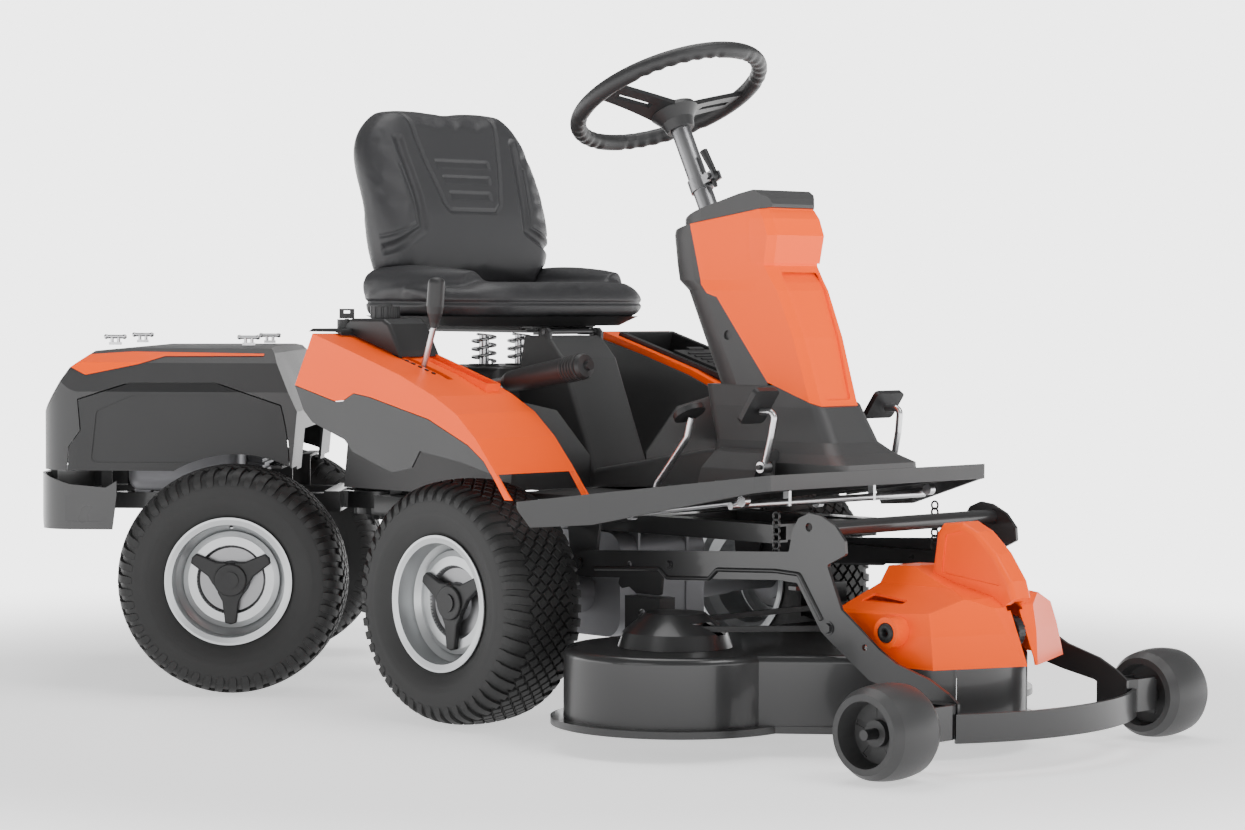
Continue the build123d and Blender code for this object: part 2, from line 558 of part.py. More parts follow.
lock -= clamp * (Pos(0, -32, 0) * Rot(0, 90, 0) * Cylinder(3.5, 12))
keep("column_lock_lever", lock)

WHEEL_C = on_axis(168.7)
wheel_plane = Plane(origin=WHEEL_C, x_dir=(0, 1, 0), z_dir=UP)
rim_s = wheel_plane * Torus(164, 14)
keep("steering_rim", rim_s)
hub = rod(on_axis(104), on_axis(120), 24, 29) + rod(on_axis(120), on_axis(138), 29, 42)
hub += rod(on_axis(138), on_axis(146), 42, 38)
hub += rod(on_axis(-120), on_axis(106), 9)
hub -= rod(on_axis(100), on_axis(112.4), 17.5) - rod(on_axis(90), on_axis(114), 9)
for s in (-1, 1):
    bar = loft([wheel_plane * Pos(-4, 0, 0) * Rot(0, 90, 0) * Pos(28, 0, s * 22) *
                Rectangle(9, 62), wheel_plane * Pos(-4, 0, 0) * Rot(0, 90, 0) * Pos(14, -6, s * 90) * Rectangle(8, 52),
                wheel_plane * Pos(-4, 0, 0) * Rot(0, 90, 0) * Pos(1, -10, s * 160) * Rectangle(9, 44)])
    slot = wheel_plane * (Pos(s * 98, -7, -14) * Box(74, 12, 60))
    hub += bar - slot
hub -= wheel_plane * Torus(164, 14)
keep("steering_hub", hub)

# ---- levers, key and dial ----
T_FOOT, T_TOP = (-142.0, -345.0, 560.0), (-112.0, -345.0, 664.0)
arm_t = pipe([T_FOOT, (-140, -345, 590), T_TOP, (-108.5, -345, 690)], 5.2, 30)
knob_plane = Plane(origin=T_TOP, x_dir=(0, 1, 0), z_dir=(0.09, 0, 1))
knob = knob_plane * revolve(Plane.XZ * make_face([Polyline((0, 0), (7, 0), (8, 6), (13, 22), (15, 34), (14.5, 70)),
                                                  Spline((14.5, 70), (12, 80), (0, 84),
                                                         tangents=[(0, 1), (-1, 0)]), Line((0, 84), (0, 0))]), Axis.Z)
arm_t += disc_y(-142, -352, -338, 556, 11)
arm_t -= knob
keep("throttle_lever", group(arm_t, knob))

L_PIV = (-262.0, -232.0, 532.0)
grip_dir = Vector(176, 0, 29).normalized()
arm_l = pipe([L_PIV, (-200, -232, 545), (-138, -232, 556), (-40, -232, 571), (20, -232, 581)], 9.5, 40)
arm_l += disc_y(-262, -244, -220, 532, 17)
arm_l -= disc_y(-262, -246, -218, 532, 8.3)
grip_plane = Plane(origin=(-52, -232, 568.5), x_dir=(0, 1, 0), z_dir=grip_dir)
prof = [(9.6, 0), (14, 0), (18, 12), (20, 60), (21.5, 150)]
for k in range(5):
    prof += [(22.5, 152 + 7 * k), (22.5, 156 + 7 * k), (20.5, 157 + 7 * k)]
prof += [(22, 190), (19, 197), (8.4, 199), (8.4, 90), (9.6, 90)]
grip_l = grip_plane * revolve(Plane.XZ * make_face(Polyline(*prof, close=True)), Axis.Z)
arm_l = arm_l - grip_l
button = grip_plane * (Pos(0, 0, 168) * Cylinder(7.9, 40, align=(Align.CENTER, Align.CENTER, Align.MIN)))
keep("lift_lever", arm_l)
keep("lift_grip", grip_l)
keep("lift_button", button)

key = disc_z(KEY[0], KEY[1], 661, 675, 3.6)
bow = Pos(KEY[0], KEY[1], 684) * Rot(0, 0, 45) * (Box(26, 5, 17) - Pos(0, 0, 3) * Box(11, 6, 5))
key += soften(bow, bow.edges().filter_by(lambda e: abs(e.length - 5) < 0.1), 2.5)
keep("ignition_key", key)
flute = Circle(26)
for k in range(14):
    flute -= Rot(0, 0, k * 360 / 14) * Pos(26.5, 0) * Circle(2.6)
dial = Pos(DIAL[0], DIAL[1], 677) * extrude(flute, amount=20)
dial += disc_z(DIAL[0], DIAL[1], 676.4, 680, 25) + disc_z(DIAL[0], DIAL[1], 667, 678, 7.2)
dial += Pos(DIAL[0], DIAL[1], 698) * Box(34, 5, 4)
keep("throttle_dial", dial)

# ---- pedals ----
def pedal_pad(plane, w, h, t):
    pad = plane * Box(w, h, t)
    pad = soften(pad, pad.edges().filter_by(Axis(plane.origin, plane.z_dir)), 8, 5)
    for k in range(4):
        pad += plane * (Pos(0, (k - 1.5) * h / 4.6, t / 2) * Box(w * 0.8, 3, 2.4))
    return pad


fwd_pad_at = Plane(origin=(457, -150, 541), x_dir=(0, 1, 0), z_dir=(-0.82, 0, 0.57))
fwd = pipe([(470, -150, 442), (484, -150, 490), (493, -150, 532), (462, -150, 531)], 5, 10)
fwd_p = pedal_pad(fwd_pad_at, 56, 66, 9)
fwd = fwd - fwd_p + disc_y(470, -160, -140, 442, 9)
fwd -= disc_y(470, -162, -138, 442, 4.5)
keep("forward_pedal", group(fwd, fwd_p))
rev_at = Plane(origin=(336, -186, 527), x_dir=(0, 1, 0), z_dir=(-0.5, 0, 0.87))
rev_pad = rev_at * (Cylinder(27, 9) + Pos(0, 0, 4.5) * (Cylinder(20, 3) - Cylinder(16, 5)) +
                    Pos(0, 0, 4.5) * Cylinder(8, 3))
rev = pipe([(252, -186, 366), (264, -186, 408), (332, -186, 486), (341, -186, 519)], 5.6, 18)
rev = rev - rev_pad + disc_y(252, -196, -176, 366, 9) - disc_y(252, -198, -174, 366, 4.5)
keep("reverse_pedal", group(rev, rev_pad))
brk_at = Plane(origin=(447, 172, 536), x_dir=(0, 1, 0), z_dir=(-0.82, 0, 0.57))
brk = pipe([(470, 172, 442), (480, 172, 490), (484, 172, 530), (453, 172, 530)], 5.6, 10)
brk_p = pedal_pad(brk_at, 70, 52, 9)
brk = brk - brk_p + disc_y(470, 162, 182, 442, 9) - disc_y(470, 160, 184, 442, 4.5)
keep("brake_pedal", group(brk, brk_p))

# ---- rear half ----
ring = disc_z(JOINT_X, 0, 317.4, 348.6, 84) + box(-740, JOINT_X, -62, 62, 317.4, 348.6)
ring -= disc_z(JOINT_X, 0, 300, 370, 20.5)
ring -= disc_z(JOINT_X, 0, 340, 349, 70) - disc_z(JOINT_X, 0, 330, 360, 40)
ring -= box(-746, -716, -130, 130, 314, 352)
front_beam = box(-746, -716, -130, 130, 314, 352)
rail_l = box(-1200, -746, 92, 130, 318, 348) - box(-1201, -745, 96, 126, 322, 344)
tail_beam = box(-1200, -1170, -92, 92, 318, 348)
mid_beam = box(-1000, -976, -92, 92, 318, 346)
hitch = xy([(-1180, -60), (-1262, -34), (-1270, -18), (-1270, 18), (-1262, 34), (-1180, 60)], 286, 292, 0)
hitch += box(-1186, -1180, -60, 60, 286, 318)
hitch -= disc_z(-1246, 0, 280, 300, 10)
hanger = xz([(-930, 318), (-930, 232), (-912, 206), (-862, 206), (-844, 232), (-844, 318)], 100, 108)
hanger -= disc_y(REAR_X, 90, 120, TYRE_R, 30)
rear_frame = group(ring, front_beam, rail_l, mirrored(rail_l), tail_beam, mid_beam, hitch, hanger,
                   mirrored(hanger))
keep("rear_frame", rear_frame, rear=True)

REAR_HUB = REAR_TRACK + 32 - 12.6
axle_r = box(-957, -817, -78, 78, 140, 288)
axle_r = soften(axle_r, axle_r.edges().filter_by(Axis.Y), 44, 30)
for s in (-1, 1):
    axle_r += rod((REAR_X, s * 70, TYRE_R), (REAR_X, s * 215, TYRE_R), 29.5, 26)
    axle_r += rod((REAR_X, s * 210, TYRE_R), (REAR_X, s * (REAR_HUB - 8), TYRE_R), 22)
    axle_r += rod((REAR_X, s * (REAR_HUB - 8), TYRE_R), (REAR_X, s * REAR_HUB, TYRE_R), 44)
    axle_r += rod((REAR_X, s * REAR_HUB, TYRE_R), (REAR_X, s * (REAR_HUB + 15), TYRE_R), 12.6)
axle_r -= rear_frame
keep("rear_axle", axle_r, rear=True)

crank = box(-1110, -900, -150, 150, 352.5, 470)
crank = soften(crank, crank.edges(), 22, 12)
shroud = Pos(-1000, 0, 470) * extrude(Circle(120), amount=74)
shroud = soften(shroud, shroud.faces().sort_by(Axis.Z)[-1].edges(), 22, 14)
shroud -= disc_z(-1000, 0, 535, 560, 70)
shroud += disc_z(-1000, 0, 520, 546, 60)
fins = Part() + [box(-900, -866, -62, 62, 372 + 12 * k, 377 + 12 * k) for k in range(8)]
fins += box(-902, -872, -48, 48, 368, 466)
muffler = rod((-1045, 168, 420), (-935, 168, 420), 34)
muffler = soften(muffler, muffler.edges(), 8, 5)
muffler += rod((-990, 140, 420), (-990, 150, 420), 12)
mounts = Part() + [box(x, x + 30, min(s * 96, s * 126), max(s * 96, s * 126), 348, 356)
                   for x in (-1100, -940) for s in (-1, 1)]
keep("engine", group(crank + fins + shroud + mounts - muffler, muffler), rear=True)

HOOD_SIDE = [(-1246, 397), (-1246, 498), (-1236, 515), (-1192, 583), (-1152, 613), (-1080, 620), (-834, 622),
             (-824, 610), (-776, 505), (-786, 397)]
HOOD_FRONT = [(-292, 397), (-292, 540), (-268, 592), (-226, 618), (-120, 623), (120, 623), (226, 618), (268, 592),
              (292, 540), (292, 397)]


def hood_block(t, low=397.0):
    side = [(x, z if z > 398 else low) for x, z in HOOD_SIDE]
    front = [(y, z if z > 398 else low) for y, z in HOOD_FRONT]
    if t:
        side, front = inset(side, t), inset(front, t)
    plan = [(-1246 + t, -292 + t), (-770 - t, -292 + t), (-770 - t, 292 - t), (-1246 + t, 292 - t)]
    plan_face = outline(plan)
    back = plan_face.vertices().sort_by(Axis.X)[:2]
    plan_face = fillet(back, 74 - t)
    body = xz(side, -300, 300) & yz(front, -1300, -700)
    body &= extrude(Pos(0, 0, 300) * plan_face, amount=400)
    return body


HOOD_HINGE = (-1238, 400)

hood_outer = hood_block(0)
hood_outer = soften(hood_outer, hood_outer.edges().filter_by(lambda e: e.center().Z > 575), 14, 8, 4)
hood_inner = hood_block(5)
open_plan = outline([(-1241, -287), (-791, -287), (-791, 287), (-1241, 287)])
open_plan = fillet(open_plan.vertices().sort_by(Axis.X)[:2], 69)
hood_shell = hood_outer - hood_inner - extrude(Pos(0, 0, 380) * open_plan, amount=60)
wheel_room = both(disc_y(REAR_X, -420, -215, TYRE_R, 222))
hood_shell -= wheel_room
side_zone = xz([(-1194, 380), (-1190, 440), (-1168, 470), (-1173, 525), (-1081, 555), (-926, 556), (-760, 500),
                (-760, 380)], -400, 400)
side_gap = xz([(-1196, 380), (-1192, 440), (-1170, 470), (-1175, 527), (-1082, 557), (-926, 558), (-758, 502),
               (-758, 380)], -400, 400)
side_only = box(-1200, -770, -300, -280, 380, 560) + box(-1200, -770, 280, 300, 380, 560)
side_zone &= disc_y(HOOD_HINGE[0], -400, 400, HOOD_HINGE[1], 447)
side_gap &= disc_y(HOOD_HINGE[0], -400, 400, HOOD_HINGE[1], 449)
hood = hood_shell - (side_gap & side_only)
hood -= box(-800, -760, -150, 150, 380, 470)
hinge_lug = disc_y(HOOD_HINGE[0], 182, 188, HOOD_HINGE[1], 7.5)
hinge_slot = box(-1250, -1226, 172, 181.5, 390, 412)
hood += both(hinge_lug)
hood -= both(hinge_slot + disc_y(HOOD_HINGE[0], 181, 192, HOOD_HINGE[1], 4.2))
insert_zone = xz([(-1190, 584), (-1162, 570), (-1066, 590), (-1022, 604), (-842, 605), (-842, 609), (-1082, 612),
                  (-1160, 607)], -400, -150)
skin = hood_block(-1.2, 396) - hood_block(0)
insert_r = skin & insert_zone
inserts = [insert_r, mirrored(insert_r)]
keep("hood", hood, rear=True)
keep("hood_inserts", group(*[i - hood for i in inserts]), rear=True)


def cleat():
    foot = Box(22, 12, 5, align=(Align.CENTER, Align.CENTER, Align.MIN))
    foot += Pos(-6, 0, 0) * Cylinder(3.2, 14, align=(Align.CENTER, Align.CENTER, Align.MIN))
    foot += Pos(6, 0, 0) * Cylinder(3.2, 14, align=(Align.CENTER, Align.CENTER, Align.MIN))
    bar = Pos(0, 0, 15) * Rot(0, 90, 0) * Cylinder(3.6, 34)
    tips = Pos(-17, 0, 15) * Sphere(4.6) + Pos(17, 0, 15) * Sphere(4.6)
    return foot + bar + tips


cleats = [Pos(x, y, 622.6) * cleat() for x in (-1132, -884) for y in (-146, 146)]
cleats = [c - hood for c in cleats]
keep("hood_cleats", group(*cleats), rear=True)

panel_side = (hood_shell & side_zone & side_only)
panel_side = panel_side - xz([(-1150, 412), (-1140, 505), (-1075, 534), (-930, 534), (-820, 498), (-820, 412)],
                             -300, -290, 10) - xz([(-1150, 412), (-1140, 505), (-1075, 534), (-930, 534), (-820, 498),
                                                  (-820, 412)], 290, 300, 10)
stay_list = [box(x, x + 20, min(s * 130.5, s * 287), max(s * 130.5, s * 287), 402, 407) for x in (-1160, -824)
             for s in (-1, 1)]
stays = Part() + stay_list + [box(x, x + 20, min(s * 131, s * 137), max(s * 131, s * 137), 330, 407)
                              for x in (-1160, -824) for s in (-1, 1)]
stays -= hood_shell
keep("rear_side_panels", group(panel_side, stays), rear=True)

BUMP = [(-1250, -290), (-1104, -290), (-1104, 290), (-1250, 290)]
bump_face = fillet(outline(BUMP).vertices().sort_by(Axis.X)[:2], 66)
bump = extrude(Pos(0, 0, 290) * bump_face, amount=102)
bump &= xz([(-1244, 290), (-1252, 330), (-1252, 392), (-1190, 372), (-1124, 366), (-1104, 378), (-1104, 352),
            (-1112, 290)], -300, 300)
bump_in = fillet(outline([(-1245, -285), (-1000, -285), (-1000, 285), (-1245, 285)]).vertices().sort_by(Axis.X)[:2], 61)
bump -= extrude(Pos(0, 0, 200) * bump_in, amount=300)
groove_b = xz([(-1240, 304), (-1240, 356), (-1180, 350), (-1130, 346), (-1124, 304)], -292, -288.5, 6)
bump -= groove_b + mirrored(groove_b)
bump += box(-1246, -1200.5, -84, -70, 322, 344) + box(-1246, -1200.5, 70, 84, 322, 344)
bump -= disc_z(-1246, 0, 250, 300, 60) & box(-1300, -1200, -61, 61, 284, 293)
hinge_plate = box(-1245.2, -1233, 174, 180, 374, 400) + disc_y(HOOD_HINGE[0], 174, 180, HOOD_HINGE[1], 5)
bump += both(hinge_plate + disc_y(HOOD_HINGE[0], 174, 190, HOOD_HINGE[1], 4))
keep("rear_bumper", bump, rear=True)

# ---- deck frame: two pressed arms, lift tube and front ring ----
ARM_Y = 213.0
arm_side = [(92, 250), (128, 246), (560, 270), (602, 268), (652, 196), (668, 184), (752, 128), (800, 116),
            (862, 104), (884, 92), (884, 58), (926, 58), (926, 108), (906, 122), (870, 140), (806, 158), (772, 176),
            (694, 232), (664, 300), (702, 318), (700, 340), (680, 362), (650, 376), (626, 379), (604, 370),
            (592, 352), (584, 316), (128, 291), (92, 286)]
arm = extrude(Plane.XZ.offset(ARM_Y - 3) * outline(arm_side), amount=6)
arm = soften(arm, arm.edges().filter_by(Axis.Y), 4, 2)
for x, z, r in ((PIVOT_X, PIVOT_Z, 9.4), (626, 357, 7), (230, 274, 5), (742, 178, 5)):
    arm -= disc_y(x, -230, -200, z, r)
groove = [(150, 262), (300, 271), (318, 257), (412, 262), (430, 278), (556, 284), (606, 282), (654, 214)]
bead = pipe([(x, -216.5, z) for x, z in groove], 3.6, 8)
arm += bead
arm += xz([(584, 262), (600, 262), (600, 256), (584, 256)], -216, -198)
arm += box(170, 560, -213, -201, 288.5, 291.5)
lug = xz([(206, 262), (300, 266), (296, 226), (240, 226), (224, 236), (206, 232), (198, 240)], -210, -204, 5)
arm += lug
arm_foot = xy([(866, -218), (884, -236), (884, -282), (890, -282), (890, -240), (925, -240), (925, -282),
               (931, -282), (931, -234), (921, -210), (866, -210)], 56, 108, 2)
arm += arm_foot
arm += box(884, 931, -284, -279, 50, 104) - disc_y(SCALP_X + 14, -300, -270, 75, 6)
cross = disc_y(650, -210, 210, 355, 12)
arc = ThreePointArc((930, -226), (993, 0), (930, 226))
front_bar = sweep(Plane(origin=arc @ 0, z_dir=arc % 0) * Rectangle(7, 44), path=arc)
if abs(front_bar.bounding_box().size.Z - 44) > 2:
    front_bar = sweep(Plane(origin=arc @ 0, z_dir=arc % 0) * Rectangle(44, 7), path=arc)
front_bar = Pos(0, 0, 72) * front_bar
rear_cross = disc_y(250, -204, 204, 262, 11)
frame_all = both(arm) + cross + front_bar + rear_cross
stub = disc_y(SCALP_X, -394, -279, 75, 8) + disc_y(SCALP_X, -289, -284, 75, 17)
frame_all += both(stub)
BOLTS = [(668, 202, 8), (322, 279, 6)]
bolts = [hexbolt((x, -216.2, z), (0, -1, 0), r, 6) for x, z, r in BOLTS]

# chain that hangs the arm, one link through the next
links = []
for k in range(7):
    link = Pos(540, -197, 300 + 11.5 * k) * Rot(90, 0, 90 * (k % 2)) * Torus(6.6, 1.7)
    links.append(link)
keep("deck_frame", group(frame_all, *bolts, *[mirrored(b) for b in bolts], *links,
                         *[Pos(0, 394, 0) * link for link in links]))

# ---- deck shell ----
RIM = 21.0
LOBES = [(418, -300, DRUM_R), (418, 300, DRUM_R), (665, 0, DRUM_R)]


def lobe_plan(grow):
    face = Pos(418, -300) * Circle(DRUM_R + grow) + Pos(418, 300) * Circle(DRUM_R + grow)
    face += Pos(665, 0) * Circle(DRUM_R + grow)
    mid = [(300 - grow, -300), (300 - grow, 300), (560, 330), (820, 90 + grow * 0.5), (820, -90 - grow * 0.5),
           (560, -330)]
    face += make_face(Polyline(*mid, close=True))
    return face


top_plan = lobe_plan(0)
in_plan = lobe_plan(-3)
deck_outer = extrude(Pos(0, 0, 40) * top_plan, amount=120)
deck_outer = soften(deck_outer, deck_outer.faces().sort_by(Axis.Z)[-1].edges(), 26, 18, 12)
deck_inner = extrude(Pos(0, 0, 30) * in_plan, amount=127)
deck_inner = soften(deck_inner, deck_inner.faces().sort_by(Axis.Z)[-1].edges(), 23, 15, 9)
shell_d = deck_outer - deck_inner
flange = extrude(Pos(0, 0, 46) * (lobe_plan(RIM) - in_plan), amount=3.5)
lip = extrude(Pos(0, 0, 38) * (lobe_plan(RIM) - lobe_plan(RIM - 3)), amount=10)
shell_d += flange + lip
for x, y in BLADES:
    shell_d += disc_z(x, y, 157, 164, 62)
    shell_d += disc_z(x, y, 140, 176, 34)
    shell_d -= disc_z(x, y, 100, 200, 12.4)
for s in (-1, 1):
    post = box(236, 316, min(s * 232, s * 196), max(s * 232, s * 196), 160, 224)
    post -= box(242, 310, min(s * 227, s * 190), max(s * 227, s * 190), 150, 219)
    post -= disc_y(276, min(s * 180, s * 240), max(s * 180, s * 240), 195, 9)
    shell_d += post
keep("deck_shell", shell_d)

# ---- belt guards over the side pulleys, part of the cover set ----
def pulley_guard(x, y):
    skirt = loft([Pos(x, y, 160.4) * Circle(92), Pos(x, y, 184) * Circle(84), Pos(x, y, 214) * Circle(48)],
                 ruled=True)
    skirt -= loft([Pos(x, y, 150) * Circle(90), Pos(x, y, 183) * Circle(80.5), Pos(x, y, 210.5) * Circle(45)],
                  ruled=True)
    return skirt


# ---- blades with their spindles and pulleys ----
for name, (x, y) in zip(("right", "centre", "left"), BLADES):
    blade = box(-BLADE_R + 2, BLADE_R - 2, -26, 26, 58, 62)
    blade &= disc_z(0, 0, 50, 70, BLADE_R)
    for s in (-1, 1):
        wing = yz([(s * 12, 60), (s * 26, 60), (s * 34, 74), (s * 32, 76), (s * 24, 62), (s * 12, 62)],
                  -150 if s > 0 else 92, -92 if s > 0 else 150)
        blade += wing
        blade -= yz([(s * -20, 57), (s * -28, 57), (s * -28, 62.5), (s * -26, 62.5)],
                    -170 if s > 0 else 60, -60 if s > 0 else 170)
    hub_b = disc_z(0, 0, 50, 57, 14) + disc_z(0, 0, 57, 66, 22) + disc_z(0, 0, 60, 128, 15)
    spindle = disc_z(0, 0, 60, 207, 12)
    pulley = disc_z(0, 0, 184, 200, 52) - (disc_z(0, 0, 187, 197, 60) - disc_z(0, 0, 186, 198, 43))
    pulley += disc_z(0, 0, 178, 206, 18)
    solid = blade + hub_b + spindle + pulley
    spin = {"right": 40, "centre": -15, "left": 75}[name]
    keep(f"blade_{name}", Pos(x, y, 0) * Rot(0, 0, spin) * solid)

# drive belt round the three pulleys
def belt_plan(r):
    pts = [(418, -300), (665, 0), (418, 300)]
    face = make_face(Polyline(*pts, close=True))
    return offset(face, r, kind=Kind.ARC)


belt = extrude(Pos(0, 0, 187.6) * (belt_plan(52.5) - belt_plan(44)), amount=8.8)
keep("drive_belt", belt)

# ---- orange cover over the centre drive ----
low = [(900, 14), (836, 164), (752, 172), (640, 176), (640, -176), (752, -172), (836, -164), (900, -14)]
mid = [(888, 14), (826, 158), (748, 168), (640, 172), (640, -172), (748, -168), (826, -158), (888, -14)]


def cover_body(t):
    z = -t
    body = loft([Pos(0, 0, 140) * outline(inset(low, t) if t else low),
                 Pos(0, 0, 196) * outline(inset(mid, t) if t else mid),
                 Pos(0, 0, 300) * outline([(x - 0.62 * (x > 700) * 44, y * 0.9) for x, y in
                                           (inset(mid, t) if t else mid)])], ruled=True)
    roof = xz([(630, 100), (630, 288 + z), (690, 290 + z), (760, 268 + z), (840, 250 + z), (862, 236 + z),
               (905, 130 + z), (905, 100)], -200, 200)
    sides = yz([(-200, 100), (-200, 196 + z), (-160, 228 + z), (-60, 262 + z), (-30, 300 + z), (30, 300 + z),
                (60, 262 + z), (160, 228 + z), (200, 196 + z), (200, 100)], 600, 930)
    skirt = xz([(640, 214), (752, 146), (930, 146), (930, 400), (640, 400)], -250, 250) if not t else xz(
        [(600, 100), (930, 100), (930, 400), (600, 400)], -250, 250)
    return body & roof & sides & skirt


cover_out = cover_body(0)
cover_out = soften(cover_out, cover_out.edges().filter_by(lambda e: e.center().Z > 200 and e.center().X > 660),
                   8, 5, 3)
cover_in = cover_body(4)
fin_side = [(700, 240), (716, 290), (724, 346), (736, 360), (776, 364), (806, 350), (842, 318), (872, 276), (880, 250),
            (860, 236)]
fin = xz(fin_side, -24, 24)
fin = soften(fin, fin.edges().filter_by(lambda e: abs(abs(e.center().Y) - 24) < 0.1 and e.center().Z > 262), 9, 6)
cove = xz([(736, 282), (744, 342), (776, 350), (800, 338), (834, 306), (856, 268)], -25, -21.5, 3)
fin -= cove + mirrored(cove)
fin_in = xz([(716, 200), (722, 286), (732, 344), (742, 354), (774, 357), (801, 344), (836, 313), (862, 270), (866, 200)],
            -19, 19)
cover = cover_out + fin
cover -= cover_in
cover -= fin_in
slot_c = xz([(846, 262), (866, 262), (912, 130), (868, 130)], -11, 11)
cover -= slot_c
boss_c = disc_y(762, -190, -158, 200, 24) - disc_y(762, -195, -150, 200, 16)
cover -= disc_y(762, -200, -150, 200, 16)
cover += boss_c - cover_in
hook_pit = xy([(660, -150), (742, -132), (742, -112), (660, -98)], 238, 330, 5)
cover -= hook_pit
cover += (xy([(656, -154), (746, -135), (746, -109), (656, -94)], 234, 237.5, 5) & cover_out) - fin
belt_room = extrude(Pos(0, 0, 182) * (belt_plan(60) - belt_plan(36)), amount=20)
guards = [pulley_guard(418, y) - belt_room for y in (-300, 300)]
keep("deck_cover", group(cover, *guards))

# ---- anti-scalp wheels and height adjuster ----
half_w = 52.4
barrel = [(-half_w, 50), (-half_w, 60), (-half_w + 14, 68.5), (0, SCALP_R), (half_w - 14, 68.5), (half_w, 60),
          (half_w, 50)]
roll = revolve(Plane.YZ * make_face([Polyline(*barrel[:3]), ThreePointArc(barrel[2], barrel[3], barrel[4]),
                                     Polyline(*barrel[4:]), Polyline((half_w, 50), (half_w - 34, 46), (half_w - 36, 20),
                                                                     (half_w - 26, 20), (half_w - 26, 8.5),
                                                                     (-half_w + 12, 8.5), (-half_w + 12, 20),
                                                                     (-half_w + 24, 20), (-half_w + 22, 46),
                                                                     (-half_w, 50))]), Axis.Y)
for k in range(5):
    roll -= Rot(0, 72 * k, 0) * Pos(0, half_w - 30, 33) * Box(9, 12, 22)
for s, name in ((-1, "right"), (1, "left")):
    spot = Pos(SCALP_X, s * SCALP_Y, 75) * Rot(0, 0, 0 if s > 0 else 180)
    wheel = spot * roll
    keep(f"anti_scalp_wheel_{name}", wheel)

adj = disc_y(854, -8, 8, 196, 26)
adj = adj - disc_y(854, -12, 12, 196, 5.4)
for k in range(24):
    adj -= Pos(854, 0, 196) * Rot(0, 15 * k, 0) * Pos(0, 0, 26.6) * Box(3, 20, 3.4)
keep("height_adjuster", adj)

# ---- linkage, brackets and fasteners carried by the front half ----
fix = []
for y in (-230, 230):
    fix.append(rod((250, y, 358), (500, y, 392), 4.2) + disc_y(250, y - 6, y + 6, 358, 9) +
               disc_y(500, y - 6, y + 6, 392, 9))
fix.append(rod((480, -240, 384), (480, 240, 384), 6))
for s in (-1, 1):
    fix.append(box(474, 486, min(s * 108, s * 102), max(s * 108, s * 102), 378, 416))
keep("linkage", group(*fix))
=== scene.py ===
"""Looks of the riding mower around its CAD frame: finishes, padded seat, tyre treads, trim, floor, lights."""
import math
import bpy
from mathutils import Matrix, Vector


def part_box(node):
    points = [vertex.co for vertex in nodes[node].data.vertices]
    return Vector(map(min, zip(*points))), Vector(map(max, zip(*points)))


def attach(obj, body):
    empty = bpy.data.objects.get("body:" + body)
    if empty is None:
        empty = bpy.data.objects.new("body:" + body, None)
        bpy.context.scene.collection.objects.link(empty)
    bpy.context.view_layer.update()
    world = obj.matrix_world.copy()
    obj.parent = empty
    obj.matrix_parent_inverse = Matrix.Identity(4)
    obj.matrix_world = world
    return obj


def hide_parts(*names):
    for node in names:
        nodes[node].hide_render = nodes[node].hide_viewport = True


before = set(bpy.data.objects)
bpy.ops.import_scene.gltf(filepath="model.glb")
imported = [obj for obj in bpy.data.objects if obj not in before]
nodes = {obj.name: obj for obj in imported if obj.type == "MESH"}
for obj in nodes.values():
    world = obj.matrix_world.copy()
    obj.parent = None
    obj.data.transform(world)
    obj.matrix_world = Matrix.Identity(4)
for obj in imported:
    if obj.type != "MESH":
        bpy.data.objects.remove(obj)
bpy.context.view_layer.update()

ORIGIN = Vector((0.13026, 0.04845, 0.0))     # front axle centre on the ground
PIVOT = Vector((-0.652, 0.0, 0.0)) + ORIGIN  # articulation pin
TURN = math.radians(43.8)                    # angle of the rear half
TYRE_RADIUS = 0.20585
WHEEL_TILT = math.radians(26.5)              # steering column lean
AXLE_HEIGHT = TYRE_RADIUS * 1000             # the same radius in millimetres


def at(x, y, z):
    """Point given in millimetres from the front axle centre."""
    return Vector((x, y, z)) / 1000 + ORIGIN


def rear_at(x, y, z):
    """Point of the straight rear half, in millimetres, after it has turned."""
    return PIVOT + Matrix.Rotation(TURN, 4, "Z") @ (at(x, y, z) - PIVOT)


